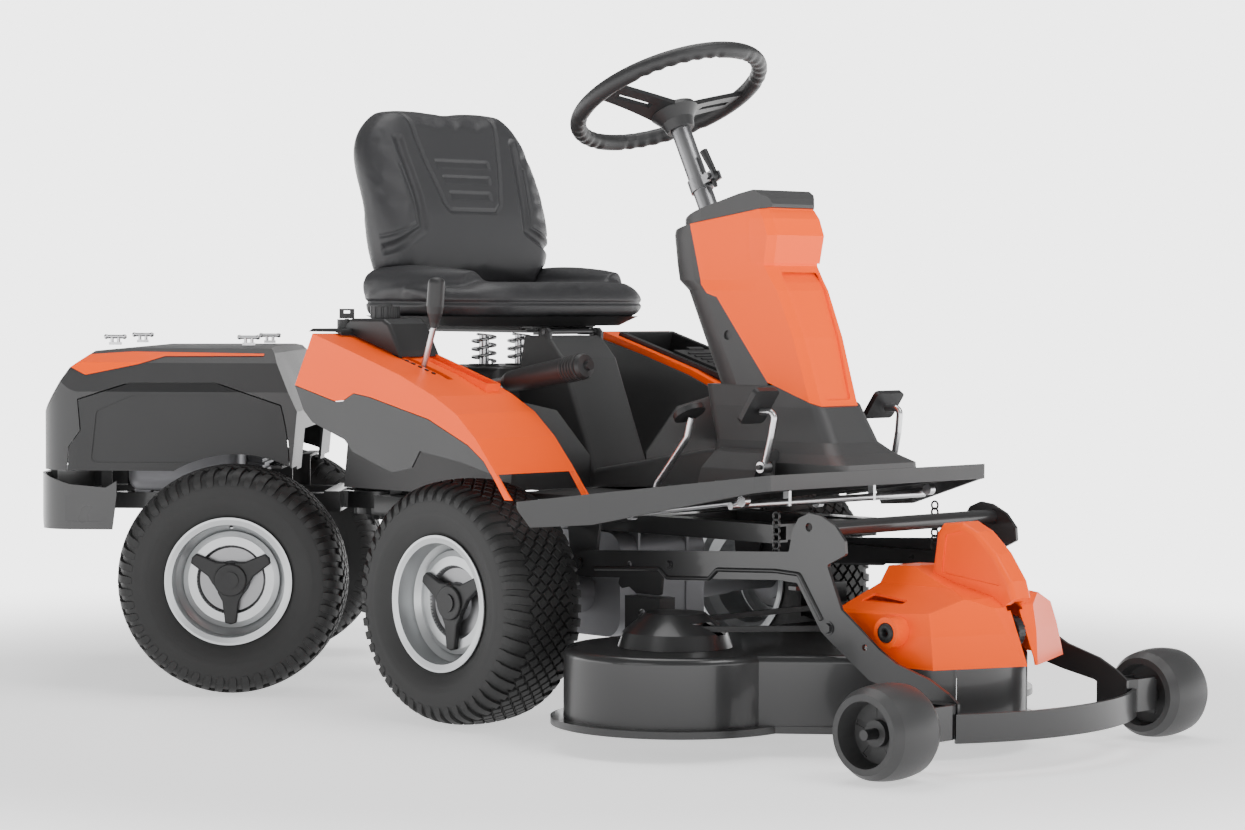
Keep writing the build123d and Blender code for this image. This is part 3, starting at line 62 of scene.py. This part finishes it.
# ---------------------------------------------------------------- finishes
def finish_of(name, colour, rough, metallic=0.0, coat=0.0, grain=600.0, bump=0.0, vary=0.06, dust=0.0,
              tint=1.18, shine=0.5):
    """Principled finish with fine noise in its roughness, tone and surface."""
    mat = bpy.data.materials.new(name)
    mat.use_nodes = True
    tree = mat.node_tree
    tree.nodes.clear()
    new, link = tree.nodes.new, tree.links.new
    out = new("ShaderNodeOutputMaterial")
    bsdf = new("ShaderNodeBsdfPrincipled")
    link(bsdf.outputs["BSDF"], out.inputs["Surface"])
    bsdf.inputs["Metallic"].default_value = metallic
    bsdf.inputs["Coat Weight"].default_value = coat
    bsdf.inputs["Coat Roughness"].default_value = 0.08
    bsdf.inputs["Specular IOR Level"].default_value = shine
    coord = new("ShaderNodeTexCoord")
    cloud = new("ShaderNodeTexNoise")
    cloud.inputs["Scale"].default_value = 7.0
    cloud.inputs["Detail"].default_value = 4.0
    link(coord.outputs["Object"], cloud.inputs["Vector"])
    tone = new("ShaderNodeMapRange")
    tone.inputs["To Min"].default_value = rough - vary
    tone.inputs["To Max"].default_value = rough + vary
    link(cloud.outputs["Fac"], tone.inputs["Value"])
    link(tone.outputs["Result"], bsdf.inputs["Roughness"])
    mix = new("ShaderNodeMix")
    mix.data_type = "RGBA"
    mix.inputs["A"].default_value = (*colour, 1)
    mix.inputs["B"].default_value = (*[min(1.0, c * (tint + dust) + 0.012 * dust) for c in colour], 1)
    link(cloud.outputs["Fac"], mix.inputs["Factor"])
    link(mix.outputs["Result"], bsdf.inputs["Base Color"])
    if bump:
        fine = new("ShaderNodeTexNoise")
        fine.inputs["Scale"].default_value = grain
        fine.inputs["Detail"].default_value = 3.0
        link(coord.outputs["Object"], fine.inputs["Vector"])
        lift = new("ShaderNodeBump")
        lift.inputs["Strength"].default_value = bump
        lift.inputs["Distance"].default_value = 0.0006
        link(fine.outputs["Fac"], lift.inputs["Height"])
        link(lift.outputs["Normal"], bsdf.inputs["Normal"])
    return mat


ORANGE = finish_of("orange_gloss", (1.0, 0.090, 0.0), 0.38, grain=900, bump=0.03, tint=0.97, shine=0.14)
GREY = finish_of("grey_plastic", (0.034, 0.034, 0.0345), 0.46, grain=1400, bump=0.30, shine=0.36)
BLACK = finish_of("black_plastic", (0.015, 0.015, 0.0155), 0.44, grain=1200, bump=0.22, shine=0.32)
PAINT = finish_of("black_paint", (0.018, 0.018, 0.0185), 0.30, coat=0.25, grain=500, bump=0.05, shine=0.35)
SILVER = finish_of("silver_paint", (0.40, 0.41, 0.415), 0.33, metallic=0.75, grain=900, bump=0.05)
STEEL = finish_of("bright_steel", (0.50, 0.50, 0.51), 0.30, metallic=1.0, grain=1500, bump=0.08)
SATIN = finish_of("satin_tube", (0.20, 0.20, 0.205), 0.34, metallic=0.9, grain=1500, bump=0.08)
CAST = finish_of("cast_metal", (0.20, 0.20, 0.21), 0.55, metallic=0.8, grain=500, bump=0.35)
TYRE = finish_of("tyre_rubber", (0.012, 0.012, 0.012), 0.58, grain=900, bump=0.25, dust=0.6, shine=0.3)
RUBBER = finish_of("grip_rubber", (0.016, 0.016, 0.0165), 0.46, grain=1600, bump=0.25, shine=0.32)
VINYL = finish_of("seat_vinyl", (0.021, 0.021, 0.0225), 0.44, grain=1100, bump=0.55, shine=0.32)
DARK = finish_of("dark_mark", (0.010, 0.010, 0.010), 0.5, grain=1500, bump=0.2)
BLADE = finish_of("blade_steel", (0.30, 0.30, 0.31), 0.42, metallic=1.0, grain=700, bump=0.2)

FINISHES = {
    ORANGE: "tower_front_cover right_fender left_fender deck_cover hood_inserts",
    GREY: "footplate console_base side_panels tower_back_cover dash_cap mudguards seat_support hood "
          "anti_scalp_wheel_left anti_scalp_wheel_right",
    BLACK: "control_panel storage_tray tray_lid rear_side_panels column_lock_lever steering_hub seat_pan "
           "throttle_dial ignition_key lift_button height_adjuster seat_cushion seat_backrest",
    PAINT: "chassis_frame rear_frame rear_bumper deck_frame deck_shell seat_bracket",
    SILVER: "front_left_rim front_right_rim rear_left_rim rear_right_rim",
    STEEL: "seat_springs linkage throttle_lever lift_lever hood_cleats forward_pedal reverse_pedal "
           "brake_pedal",
    SATIN: "column_tube",
    CAST: "front_transaxle rear_axle engine",
    TYRE: "front_left_tyre front_right_tyre rear_left_tyre rear_right_tyre",
    RUBBER: "steering_rim lift_grip drive_belt",
    BLADE: "blade_left blade_centre blade_right",
}


def paint(node, mat):
    """One finish for the whole CAD node."""
    data = nodes[node].data
    data.materials.clear()
    data.materials.append(mat)


def repaint(node, mat, test):
    """Second finish for the faces of a CAD node whose centre (mm, from the axle centre) passes a test."""
    data = nodes[node].data
    data.materials.append(mat)
    index = len(data.materials) - 1
    for face in data.polygons:
        c = (face.center - ORIGIN) * 1000
        if test(c.x, c.y, c.z):
            face.material_index = index


for mat, names in FINISHES.items():
    for node in names.split():
        paint(node, mat)


def wheel_axes(x, y, rear):
    """Centre and outward direction of a wheel, in metres."""
    side = -1 if y < 0 else 1
    if rear:
        return rear_at(x, y, AXLE_HEIGHT), Matrix.Rotation(TURN, 3, "Z") @ Vector((0, side, 0))
    return at(x, y, AXLE_HEIGHT), Vector((0, side, 0))


WHEELS = {"front_right": (0, -363, False), "front_left": (0, 363, False),
          "rear_right": (-887, -313, True), "rear_left": (-887, 313, True)}


CAP_START = 35.5    # the hub cap lies further out than this, in mm from the wheel's middle
CAP_RADIUS = 82
DISC_RADIUS = 61    # bare middle of the rim, round the wheel bolts


def hub_faces(name):
    """Black hub cap and satin middle on a silver rim."""
    centre, out = wheel_axes(*WHEELS[name])
    data = nodes[name + "_rim"].data
    data.materials.append(BLACK)
    data.materials.append(SATIN)
    for face in data.polygons:
        d = face.center - centre
        axial = d.dot(out) * 1000
        radial = (d - out * d.dot(out)).length * 1000
        if axial > CAP_START and radial < CAP_RADIUS:
            face.material_index = 1
        elif radial < DISC_RADIUS:
            face.material_index = 2


for name in WHEELS:
    hub_faces(name)

FENDER_SLOPE = 0.2870     # fall of the fender's top towards the front
MARK_LIFT = 0.35          # the marks stand above the fender's top
PAD_BACK = 5.2            # a pedal pad reaches this far behind its middle, along the pad's normal


def fender_marks(x, y, z):
    """Raised row of marks beside the lever slot."""
    top = 597.5 + (-140 - x) * FENDER_SLOPE
    return -368 < y < -355 and -210 < x < -70 and z > top + MARK_LIFT


def pad_test(low, px, pz, nx, nz):
    """Test for a pedal's pad, from its lowest height, its middle and its normal."""
    return lambda x, y, z: z > low and (x - px) * nx + (z - pz) * nz > -PAD_BACK


repaint("right_fender", DARK, fender_marks)
repaint("throttle_lever", BLACK, lambda x, y, z: z > 661)
repaint("forward_pedal", BLACK, pad_test(505, 457, 541, -0.82, 0.57))
repaint("brake_pedal", BLACK, pad_test(500, 447, 536, -0.82, 0.57))
repaint("reverse_pedal", BLACK, pad_test(505, 336, 527, -0.5, 0.87))
repaint("deck_cover", PAINT, lambda x, y, z: abs(y) > 190)
repaint("engine", SATIN, lambda x, y, z: z > 480)


# ---------------------------------------------------------------- mesh helpers
def add_mesh(name, verts, faces, mat, body, smooth=True, matrix=None):
    """New object from vertices and faces, riding on a body if one is named."""
    data = bpy.data.meshes.new(name)
    data.from_pydata([tuple(v) for v in verts], [], faces)
    data.update()
    data.materials.append(mat)
    for face in data.polygons:
        face.use_smooth = smooth
    obj = bpy.data.objects.new(name, data)
    bpy.context.collection.objects.link(obj)
    if matrix is not None:
        obj.matrix_world = matrix
    if body:
        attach(obj, body)
    return obj


def revolve(profile, count):
    """Vertices and faces of a closed profile of (axial, radius) points, turned round the Y axis."""
    verts, faces = [], []
    n = len(profile)
    for i in range(count):
        a = 2 * math.pi * i / count
        verts += [(r * math.sin(a), u, r * math.cos(a)) for u, r in profile]
    for i in range(count):
        j = (i + 1) % count
        for k in range(n):
            m = (k + 1) % n
            faces.append((i * n + k, i * n + m, j * n + m, j * n + k))
    return verts, faces


def smooth_line(points, steps):
    """Catmull-Rom line through points."""
    out = []
    p = [points[0]] + list(points) + [points[-1]]
    for a, b, c, d in zip(p, p[1:], p[2:], p[3:]):
        for k in range(steps):
            t = k / steps
            out.append(tuple(0.5 * (2 * q + (r - o) * t + (2 * o - 5 * q + 4 * r - s) * t * t +
                                    (3 * q - o - 3 * r + s) * t ** 3) for o, q, r, s in zip(a, b, c, d)))
    out.append(tuple(points[-1]))
    return out


# ---------------------------------------------------------------- tyres
lo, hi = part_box("front_right_tyre")
HALF = (hi.y - lo.y) / 2
SIDE = [(0.062, 0.1045), (0.070, 0.118), (0.079, 0.140), (HALF - 0.0012, 0.163), (0.078, 0.184),
        (0.066, 0.197), (0.038, 0.2036), (0.0, TYRE_RADIUS)]
PROFILE = smooth_line([(-u, r) for u, r in SIDE] + [(u, r) for u, r in reversed(SIDE[:-1])], 10)
ARC = [0.0]
for (u0, r0), (u1, r1) in zip(PROFILE, PROFILE[1:]):
    ARC.append(ARC[-1] + math.hypot(u1 - u0, r1 - r0))
MIDDLE = ARC[-1] / 2
TREAD_DEPTH = 0.0055
TREAD_EDGE = 0.072      # distance from the crown where the tread starts to run out
TREAD_FADE = 0.026      # distance over which it does
PITCHES = 50            # tread blocks round the tyre


def on_profile(s):
    """(axial, radius, normal) at the distance s from the crown, along the tyre's outline."""
    s = min(max(s + MIDDLE, 0.0), ARC[-1] - 1e-6)
    k = max(i for i in range(len(ARC) - 1) if ARC[i] <= s)
    t = (s - ARC[k]) / (ARC[k + 1] - ARC[k])
    (u0, r0), (u1, r1) = PROFILE[k], PROFILE[k + 1]
    length = math.hypot(u1 - u0, r1 - r0)
    return u0 + (u1 - u0) * t, r0 + (r1 - r0) * t, (-(r1 - r0) / length, (u1 - u0) / length)


def tread_depth(s):
    """Depth of the carcass under the tread's top, in metres."""
    d = abs(s)
    if d < TREAD_EDGE:
        return TREAD_DEPTH
    return max(0.0, TREAD_DEPTH * (1 - (d - TREAD_EDGE) / TREAD_FADE))


def tyre_point(s, along, lift):
    """Point of the tyre: s across from the crown, along its circumference, lift over the carcass."""
    u, r, (nu, nr) = on_profile(s)
    h = lift - tread_depth(s)
    u, r = u + nu * h, r + nr * h
    a = along / TYRE_RADIUS
    return Vector((r * math.sin(a), u, r * math.cos(a)))


def tyre_mesh():
    """Carcass with diamond blocks on the crown and curved lugs on both shoulders."""
    steps = 76
    outer = []
    for k in range(steps + 1):
        s = -MIDDLE + 2 * MIDDLE * k / steps
        u, r, (nu, nr) = on_profile(s)
        ring = 0.0011 * sum(max(0.0, 1 - abs(r - c) / 0.0022) for c in (0.1500, 0.1215)) if r < 0.17 else 0
        h = ring - tread_depth(s)
        outer.append((u + nu * h, r + nr * h))
    inner = [(0.050, 0.1045), (0.060, 0.120), (0.068, 0.142), (0.0705, 0.163), (0.057, 0.188), (0.0, 0.193)]
    inside = inner + [(-u, r) for u, r in reversed(inner[:-1])]
    verts, faces = revolve(outer + inside, 144)

    def block(corners):
        """Raised block from (s, along) corners, chamfered on top."""
        n = len(corners)
        cs, ca = sum(c[0] for c in corners) / n, sum(c[1] for c in corners) / n
        base = len(verts)
        for scale, lift in ((1.0, -0.0008), (1.0, 0.0044), (0.90, 0.0054)):
            verts.extend(tyre_point(cs + (s - cs) * scale, ca + (a - ca) * scale, lift) for s, a in corners)
        for ring in (0, n):
            for k in range(n):
                m = (k + 1) % n
                faces.append((base + ring + k, base + ring + m, base + ring + n + m, base + ring + n + k))
        faces.append(tuple(base + 2 * n + k for k in range(n)))

    def lug(sign, along, step):
        """Curved shoulder lug that runs down to the sidewall."""
        rows = []
        for k in range(8):
            t = k / 7
            s = sign * (0.046 + 0.052 * t)
            mid = along + step * (0.10 + 0.34 * math.sin(t * 1.4) * sign)
            half = step * (0.27 + 0.07 * t) * (1 - 0.25 * (t > 0.9))
            rows.append((s, mid - half, mid + half, 0.0052 * min(1.0, (1.04 - t) * 3.2)))
        base = len(verts)
        for s, a0, a1, lift in rows:
            verts.extend([tyre_point(s, a0, -0.0006), tyre_point(s, a0 + 0.0012, lift),
                          tyre_point(s, a1 - 0.0012, lift), tyre_point(s, a1, -0.0006)])
        for k in range(7):
            for j in range(3):
                a = base + 4 * k + j
                faces.append((a, a + 1, a + 5, a + 4))
        faces.append((base, base + 1, base + 2, base + 3))
        faces.append(tuple(base + 28 + j for j in (3, 2, 1, 0)))

    step = 2 * math.pi * TYRE_RADIUS / PITCHES
    for i in range(PITCHES):
        for row in range(-3, 4):
            s0 = row * 0.0128
            a0 = (i + 0.5 * (row % 2)) * step
            block([(s0 - 0.0102, a0), (s0 - 0.002, a0 + step * 0.40), (s0 + 0.0102, a0 + step * 0.10),
                   (s0 + 0.002, a0 - step * 0.36)])
        lug(1, i * step, step)
        lug(-1, (i + 0.5) * step, step)
    return verts, faces


tyre_verts, tyre_faces = tyre_mesh()
tyre_data = None
for name, (x, y, rear) in WHEELS.items():
    centre, out = wheel_axes(x, y, rear)
    spin = (TURN if rear else 0) + (math.pi if y < 0 else 0)
    place = Matrix.Translation(centre) @ Matrix.Rotation(spin, 4, "Z")
    if tyre_data is None:
        tyre = add_mesh(name + "_tread", tyre_verts, tyre_faces, TYRE, None)
        tyre_data = tyre.data
        tyre_data.set_sharp_from_angle(angle=math.radians(38))
    else:
        tyre = bpy.data.objects.new(name + "_tread", tyre_data)
        bpy.context.collection.objects.link(tyre)
    tyre.matrix_world = place
    bpy.context.view_layer.update()
    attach(tyre, f"wheel_{name}")
    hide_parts(name + "_tyre")


# ---------------------------------------------------------------- steering wheel rim
GRIPS = (-142, -38, 38, 142)     # middles of the ribbed stretches, in degrees
GRIP_REACH = 28                  # half the length of one, in degrees
RIBS = 44                        # ribs that would fit round the whole rim
RIB_DEPTH = 0.0026


def steering_rim():
    """Ring with finger ribs on its inner and lower side."""
    major, minor = 0.164, 0.014
    rings, round_ = 220, 28
    verts, faces = [], []
    for i in range(rings):
        a = 2 * math.pi * i / rings
        deg = (math.degrees(a) + 180) % 360 - 180
        grip = 1.0 if min(abs(deg - middle) for middle in GRIPS) < GRIP_REACH else 0.0
        wave = 0.5 - 0.5 * math.cos(i * 2 * math.pi / rings * RIBS)
        for j in range(round_):
            b = 2 * math.pi * j / round_
            under = max(0.0, -math.sin(b)) * 0.75 + max(0.0, -math.cos(b)) * 0.45
            r = minor - RIB_DEPTH * wave * grip * min(1.0, under)
            reach = major + r * math.cos(b)
            verts.append((reach * math.cos(a), reach * math.sin(a), r * math.sin(b)))
    for i in range(rings):
        k = (i + 1) % rings
        for j in range(round_):
            m = (j + 1) % round_
            faces.append((i * round_ + j, i * round_ + m, k * round_ + m, k * round_ + j))
    return verts, faces


rim_lo, rim_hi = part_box("steering_rim")
rim_place = Matrix.Translation((rim_lo + rim_hi) / 2) @ Matrix.Rotation(-WHEEL_TILT, 4, "Y")
rim_obj = add_mesh("steering_grip", *steering_rim(), RUBBER, None)
rim_obj.matrix_world = rim_place
bpy.context.view_layer.update()
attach(rim_obj, "steering_wheel")
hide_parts("steering_rim")


# ---------------------------------------------------------------- padded seat
def applied(obj):
    """Keeps the object's evaluated mesh as its own."""
    graph = bpy.context.evaluated_depsgraph_get()
    data = bpy.data.meshes.new_from_object(obj.evaluated_get(graph))
    obj.modifiers.clear()
    obj.data = data


PAD_VOXEL = 0.005
PAD_PRESSURE = 3.0
PAD_REACH = 0.006     # furthest that a point moves
PAD_FRAMES = 20


def stuffed(node, name):
    """Copy of a CAD solid, blown up a little as cloth."""
    obj = bpy.data.objects.new(name, nodes[node].data.copy())
    bpy.context.collection.objects.link(obj)
    remesh = obj.modifiers.new("remesh", "REMESH")
    remesh.mode = "VOXEL"
    remesh.voxel_size = PAD_VOXEL
    applied(obj)
    rest = [v.co.copy() for v in obj.data.vertices]
    cloth = obj.modifiers.new("cloth", "CLOTH")
    cloth.settings.quality = 4
    cloth.settings.tension_stiffness = 14
    cloth.settings.compression_stiffness = 14
    cloth.settings.bending_stiffness = 2
    cloth.settings.use_pressure = True
    cloth.settings.uniform_pressure_force = PAD_PRESSURE
    cloth.settings.effector_weights.gravity = 0
    cloth.point_cache.frame_start = 1
    cloth.point_cache.frame_end = PAD_FRAMES
    scene = bpy.context.scene
    for k in range(1, PAD_FRAMES + 1):
        scene.frame_set(k)
    applied(obj)
    scene.frame_set(1)
    for v, old in zip(obj.data.vertices, rest):
        move = v.co - old
        if move.length > PAD_REACH:
            v.co = old + move * (PAD_REACH / move.length)
    relax = obj.modifiers.new("relax", "SMOOTH")
    relax.factor = 0.5
    relax.iterations = 6
    finer = obj.modifiers.new("finer", "SUBSURF")
    finer.levels = finer.render_levels = 1
    applied(obj)
    obj.data.materials.clear()
    obj.data.materials.append(VINYL)
    for face in obj.data.polygons:
        face.use_smooth = True
        face.material_index = 0
    return obj


def groove(distance, width):
    """Depth share of a rounded groove at a distance from its line."""
    return max(0.0, 1 - (distance / width) ** 2) if abs(distance) < width else 0.0


def to_segment(py, pz, a, b):
    """Distance from a point to a segment, in the same plane units."""
    ay, az, by, bz = *a, *b
    ly, lz = by - ay, bz - az
    t = max(0.0, min(1.0, ((py - ay) * ly + (pz - az) * lz) / (ly * ly + lz * lz)))
    return math.hypot(py - ay - ly * t, pz - az - lz * t)


def press_lines(obj, depth_of):
    """Moves vertices inwards along their normals by depth_of(x, y, z, normal), in millimetres."""
    moves = []
    for v in obj.data.vertices:
        c = (v.co - ORIGIN) * 1000
        moves.append(depth_of(c.x, c.y, c.z, v.normal))
    normals = [v.normal.copy() for v in obj.data.vertices]
    for v, n, d in zip(obj.data.vertices, normals, moves):
        if d:
            v.co -= n * (d / 1000)
    obj.data.update()


back = stuffed("seat_backrest", "seat_backrest_pad")
# Lines on the backrest, as (y, z) points in mm
PANEL = [(-96, 1052), (-82, 950), (-68, 884), (-56, 871), (56, 871), (68, 884), (82, 950), (96, 1052)]
CHANNEL = [(128, 1000), (128, 838), (198, 798)]
WING_SEAM = [(142, 952), (142, 846), (204, 822)]
SLOTS = [(965, 948, 62), (936, 919, 56), (907, 890, 50)]     # top, bottom and half width
# Lines on the cushion, as (x, y) points in mm
SIDE_SEAM = [(-430, 118), (-250, 124), (-170, 104)]
FRONT_SEAM = [(-170, -104), (-170, 104)]
CROSS_SEAM = [(-250, -120), (-250, 120)]
PIPING_HEIGHT = 704


def chain_distance(y, z, points):
    """Distance from a point to the nearest segment of a line."""
    return min(to_segment(y, z, a, b) for a, b in zip(points, points[1:]))


def back_lines(x, y, z, n):
    """Depth of the backrest's seams, side channels and three slots."""
    if n.x < 0.2:
        return 0.0
    d = 3.4 * groove(chain_distance(y, z, PANEL), 4.5)
    d = max(d, 6.5 * groove(chain_distance(abs(y), z, CHANNEL), 11))
    d = max(d, 2.6 * groove(chain_distance(abs(y), z, WING_SEAM), 3.6))
    for top, low, half in SLOTS:
        inside = min(top - z, z - low, half - abs(y))
        if inside > 0:
            d = max(d, 4.0 * min(1.0, inside / 2.5) * (0.45 + 0.55 * (z - low) / (top - low)))
    return d


TOP_START = 860       # height where the back starts to spread, in mm
TOP_RISE = 160        # and the height over which it does
TOP_LEAN = 0.020
TOP_SPREAD = 0.11


def square_top(obj):
    """Fuller top corners, on a back that leans a little further than its plain solid."""
    for v in obj.data.vertices:
        c = (v.co - ORIGIN) * 1000
        rise = max(0.0, min(1.0, (c.z - TOP_START) / TOP_RISE))
        ease = rise * rise * (3 - 2 * rise)
        v.co.x -= TOP_LEAN * ease
        v.co.y += TOP_SPREAD * ease * c.y / 1000
    obj.data.update()


press_lines(back, back_lines)
square_top(back)
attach(back, "seat")
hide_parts("seat_backrest")

cushion = stuffed("seat_cushion", "seat_cushion_pad")


def cushion_lines(x, y, z, n):
    """Depth of the cushion's seams on top, or of the piping line on its sides."""
    if n.z <= 0.35:
        return 3.8 * groove(z - PIPING_HEIGHT, 4.5)
    d = max(4.6 * groove(chain_distance(x, s * y, SIDE_SEAM), 6.5) for s in (-1, 1))
    d = max(d, 4.2 * groove(chain_distance(x, y, FRONT_SEAM), 6))
    return max(d, 3.0 * groove(chain_distance(x, y, CROSS_SEAM), 6))


press_lines(cushion, cushion_lines)
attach(cushion, "seat")
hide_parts("seat_cushion")


# ---------------------------------------------------------------- plug in the cover's collar
# Outline as (axial, radius) points in metres, outer end first
PLUG = [(-0.008, 0.0055), (-0.0095, 0.0075), (-0.0095, 0.0125), (-0.0075, 0.0150), (-0.002, 0.0156),
        (0.016, 0.0156), (0.016, 0.0055)]
plug_verts, plug_faces = revolve(PLUG, 36)
plug = add_mesh("cover_plug", plug_verts, plug_faces, BLACK, "deck",
                matrix=Matrix.Translation(at(762, -184, 200)))


# ---------------------------------------------------------------- floor, light, camera
BACKDROP = 4.0          # brightness of the seamless backdrop round the horizon
OVERHEAD = 0.32         # brightness of the room above it
FLOOR_GLOW = 0.22       # share of the backdrop's glow in the floor under the machine
NEAR, FAR = 1.15, 2.5   # distances between which the floor turns into the backdrop, in metres
FLOOR_HALF = 30


def floor_finish():
    """Pale matt floor that fades into the glowing backdrop."""
    mat = bpy.data.materials.new("studio_floor")
    mat.use_nodes = True
    tree = mat.node_tree
    tree.nodes.clear()
    new, link = tree.nodes.new, tree.links.new
    out = new("ShaderNodeOutputMaterial")
    bsdf = new("ShaderNodeBsdfPrincipled")
    bsdf.inputs["Base Color"].default_value = (0.93, 0.93, 0.935, 1)
    glow = new("ShaderNodeEmission")
    glow.inputs["Color"].default_value = (1, 1, 1, 1)
    glow.inputs["Strength"].default_value = BACKDROP
    coord = new("ShaderNodeTexCoord")
    length = new("ShaderNodeVectorMath")
    length.operation = "LENGTH"
    link(coord.outputs["Object"], length.inputs[0])
    fade = new("ShaderNodeMapRange")
    fade.interpolation_type = "SMOOTHSTEP"
    fade.inputs["From Min"].default_value = NEAR
    fade.inputs["From Max"].default_value = FAR
    fade.inputs["To Min"].default_value = FLOOR_GLOW
    link(length.outputs["Value"], fade.inputs["Value"])
    noise = new("ShaderNodeTexNoise")
    noise.inputs["Scale"].default_value = 3.0
    link(coord.outputs["Object"], noise.inputs["Vector"])
    rough = new("ShaderNodeMapRange")
    rough.inputs["To Min"].default_value = 0.7
    rough.inputs["To Max"].default_value = 0.8
    link(noise.outputs["Fac"], rough.inputs["Value"])
    link(rough.outputs["Result"], bsdf.inputs["Roughness"])
    mix = new("ShaderNodeMixShader")
    link(fade.outputs["Result"], mix.inputs["Fac"])
    link(bsdf.outputs["BSDF"], mix.inputs[1])
    link(glow.outputs["Emission"], mix.inputs[2])
    link(mix.outputs["Shader"], out.inputs["Surface"])
    return mat


corners = [(sx * FLOOR_HALF, sy * FLOOR_HALF, 0) for sx, sy in ((-1, -1), (1, -1), (1, 1), (-1, 1))]
floor = add_mesh("floor", corners, [(0, 1, 2, 3)], floor_finish(), None, smooth=False)

world = bpy.data.worlds.new("studio")
bpy.context.scene.world = world
world.use_nodes = True
tree = world.node_tree
coord = tree.nodes.new("ShaderNodeTexCoord")
height = tree.nodes.new("ShaderNodeSeparateXYZ")
band = tree.nodes.new("ShaderNodeMapRange")
band.interpolation_type = "SMOOTHSTEP"
band.inputs["From Min"].default_value = 0.09
band.inputs["From Max"].default_value = 0.20
band.inputs["To Min"].default_value = BACKDROP
band.inputs["To Max"].default_value = OVERHEAD
tree.links.new(coord.outputs["Generated"], height.inputs["Vector"])
tree.links.new(height.outputs["Z"], band.inputs["Value"])
tree.links.new(band.outputs["Result"], tree.nodes["Background"].inputs["Strength"])
tree.nodes["Background"].inputs["Color"].default_value = (1, 1, 1, 1)


def softbox(name, place, target, size, power):
    """Rectangular area light turned towards a target."""
    light = bpy.data.lights.new(name, "AREA")
    light.shape = "RECTANGLE"
    light.size, light.size_y = size
    light.energy = power
    obj = bpy.data.objects.new(name, light)
    bpy.context.collection.objects.link(obj)
    obj.location = place
    obj.rotation_mode = "QUATERNION"
    obj.rotation_quaternion = (Vector(target) - Vector(place)).to_track_quat("-Z", "Y")


softbox("key", (3.2, 0.4, 3.6), (0.1, 0, 0.4), (1.8, 1.8), 78)
softbox("top", (-0.4, 0.3, 3.9), (-0.1, 0, 0.3), (2.4, 2.4), 85)
softbox("side", (1.0, -4.2, 1.7), (0, 0, 0.5), (2.0, 1.0), 20)

EYE = at(3880, -3872, 718)
TARGET = at(-4.2, 0, 508.47)
ROLL = math.radians(0.24)

camera_data = bpy.data.cameras.new("camera")
camera_data.sensor_width = 36.0
camera_data.lens = 90.6
camera = bpy.data.objects.new("camera", camera_data)
bpy.context.collection.objects.link(camera)
camera.location = EYE
aim = (TARGET - EYE).to_track_quat("-Z", "Y")
camera.rotation_mode = "QUATERNION"
camera.rotation_quaternion = aim @ Matrix.Rotation(ROLL, 4, "Z").to_quaternion()
camera_data.clip_end = 200.0
bpy.context.scene.camera = camera
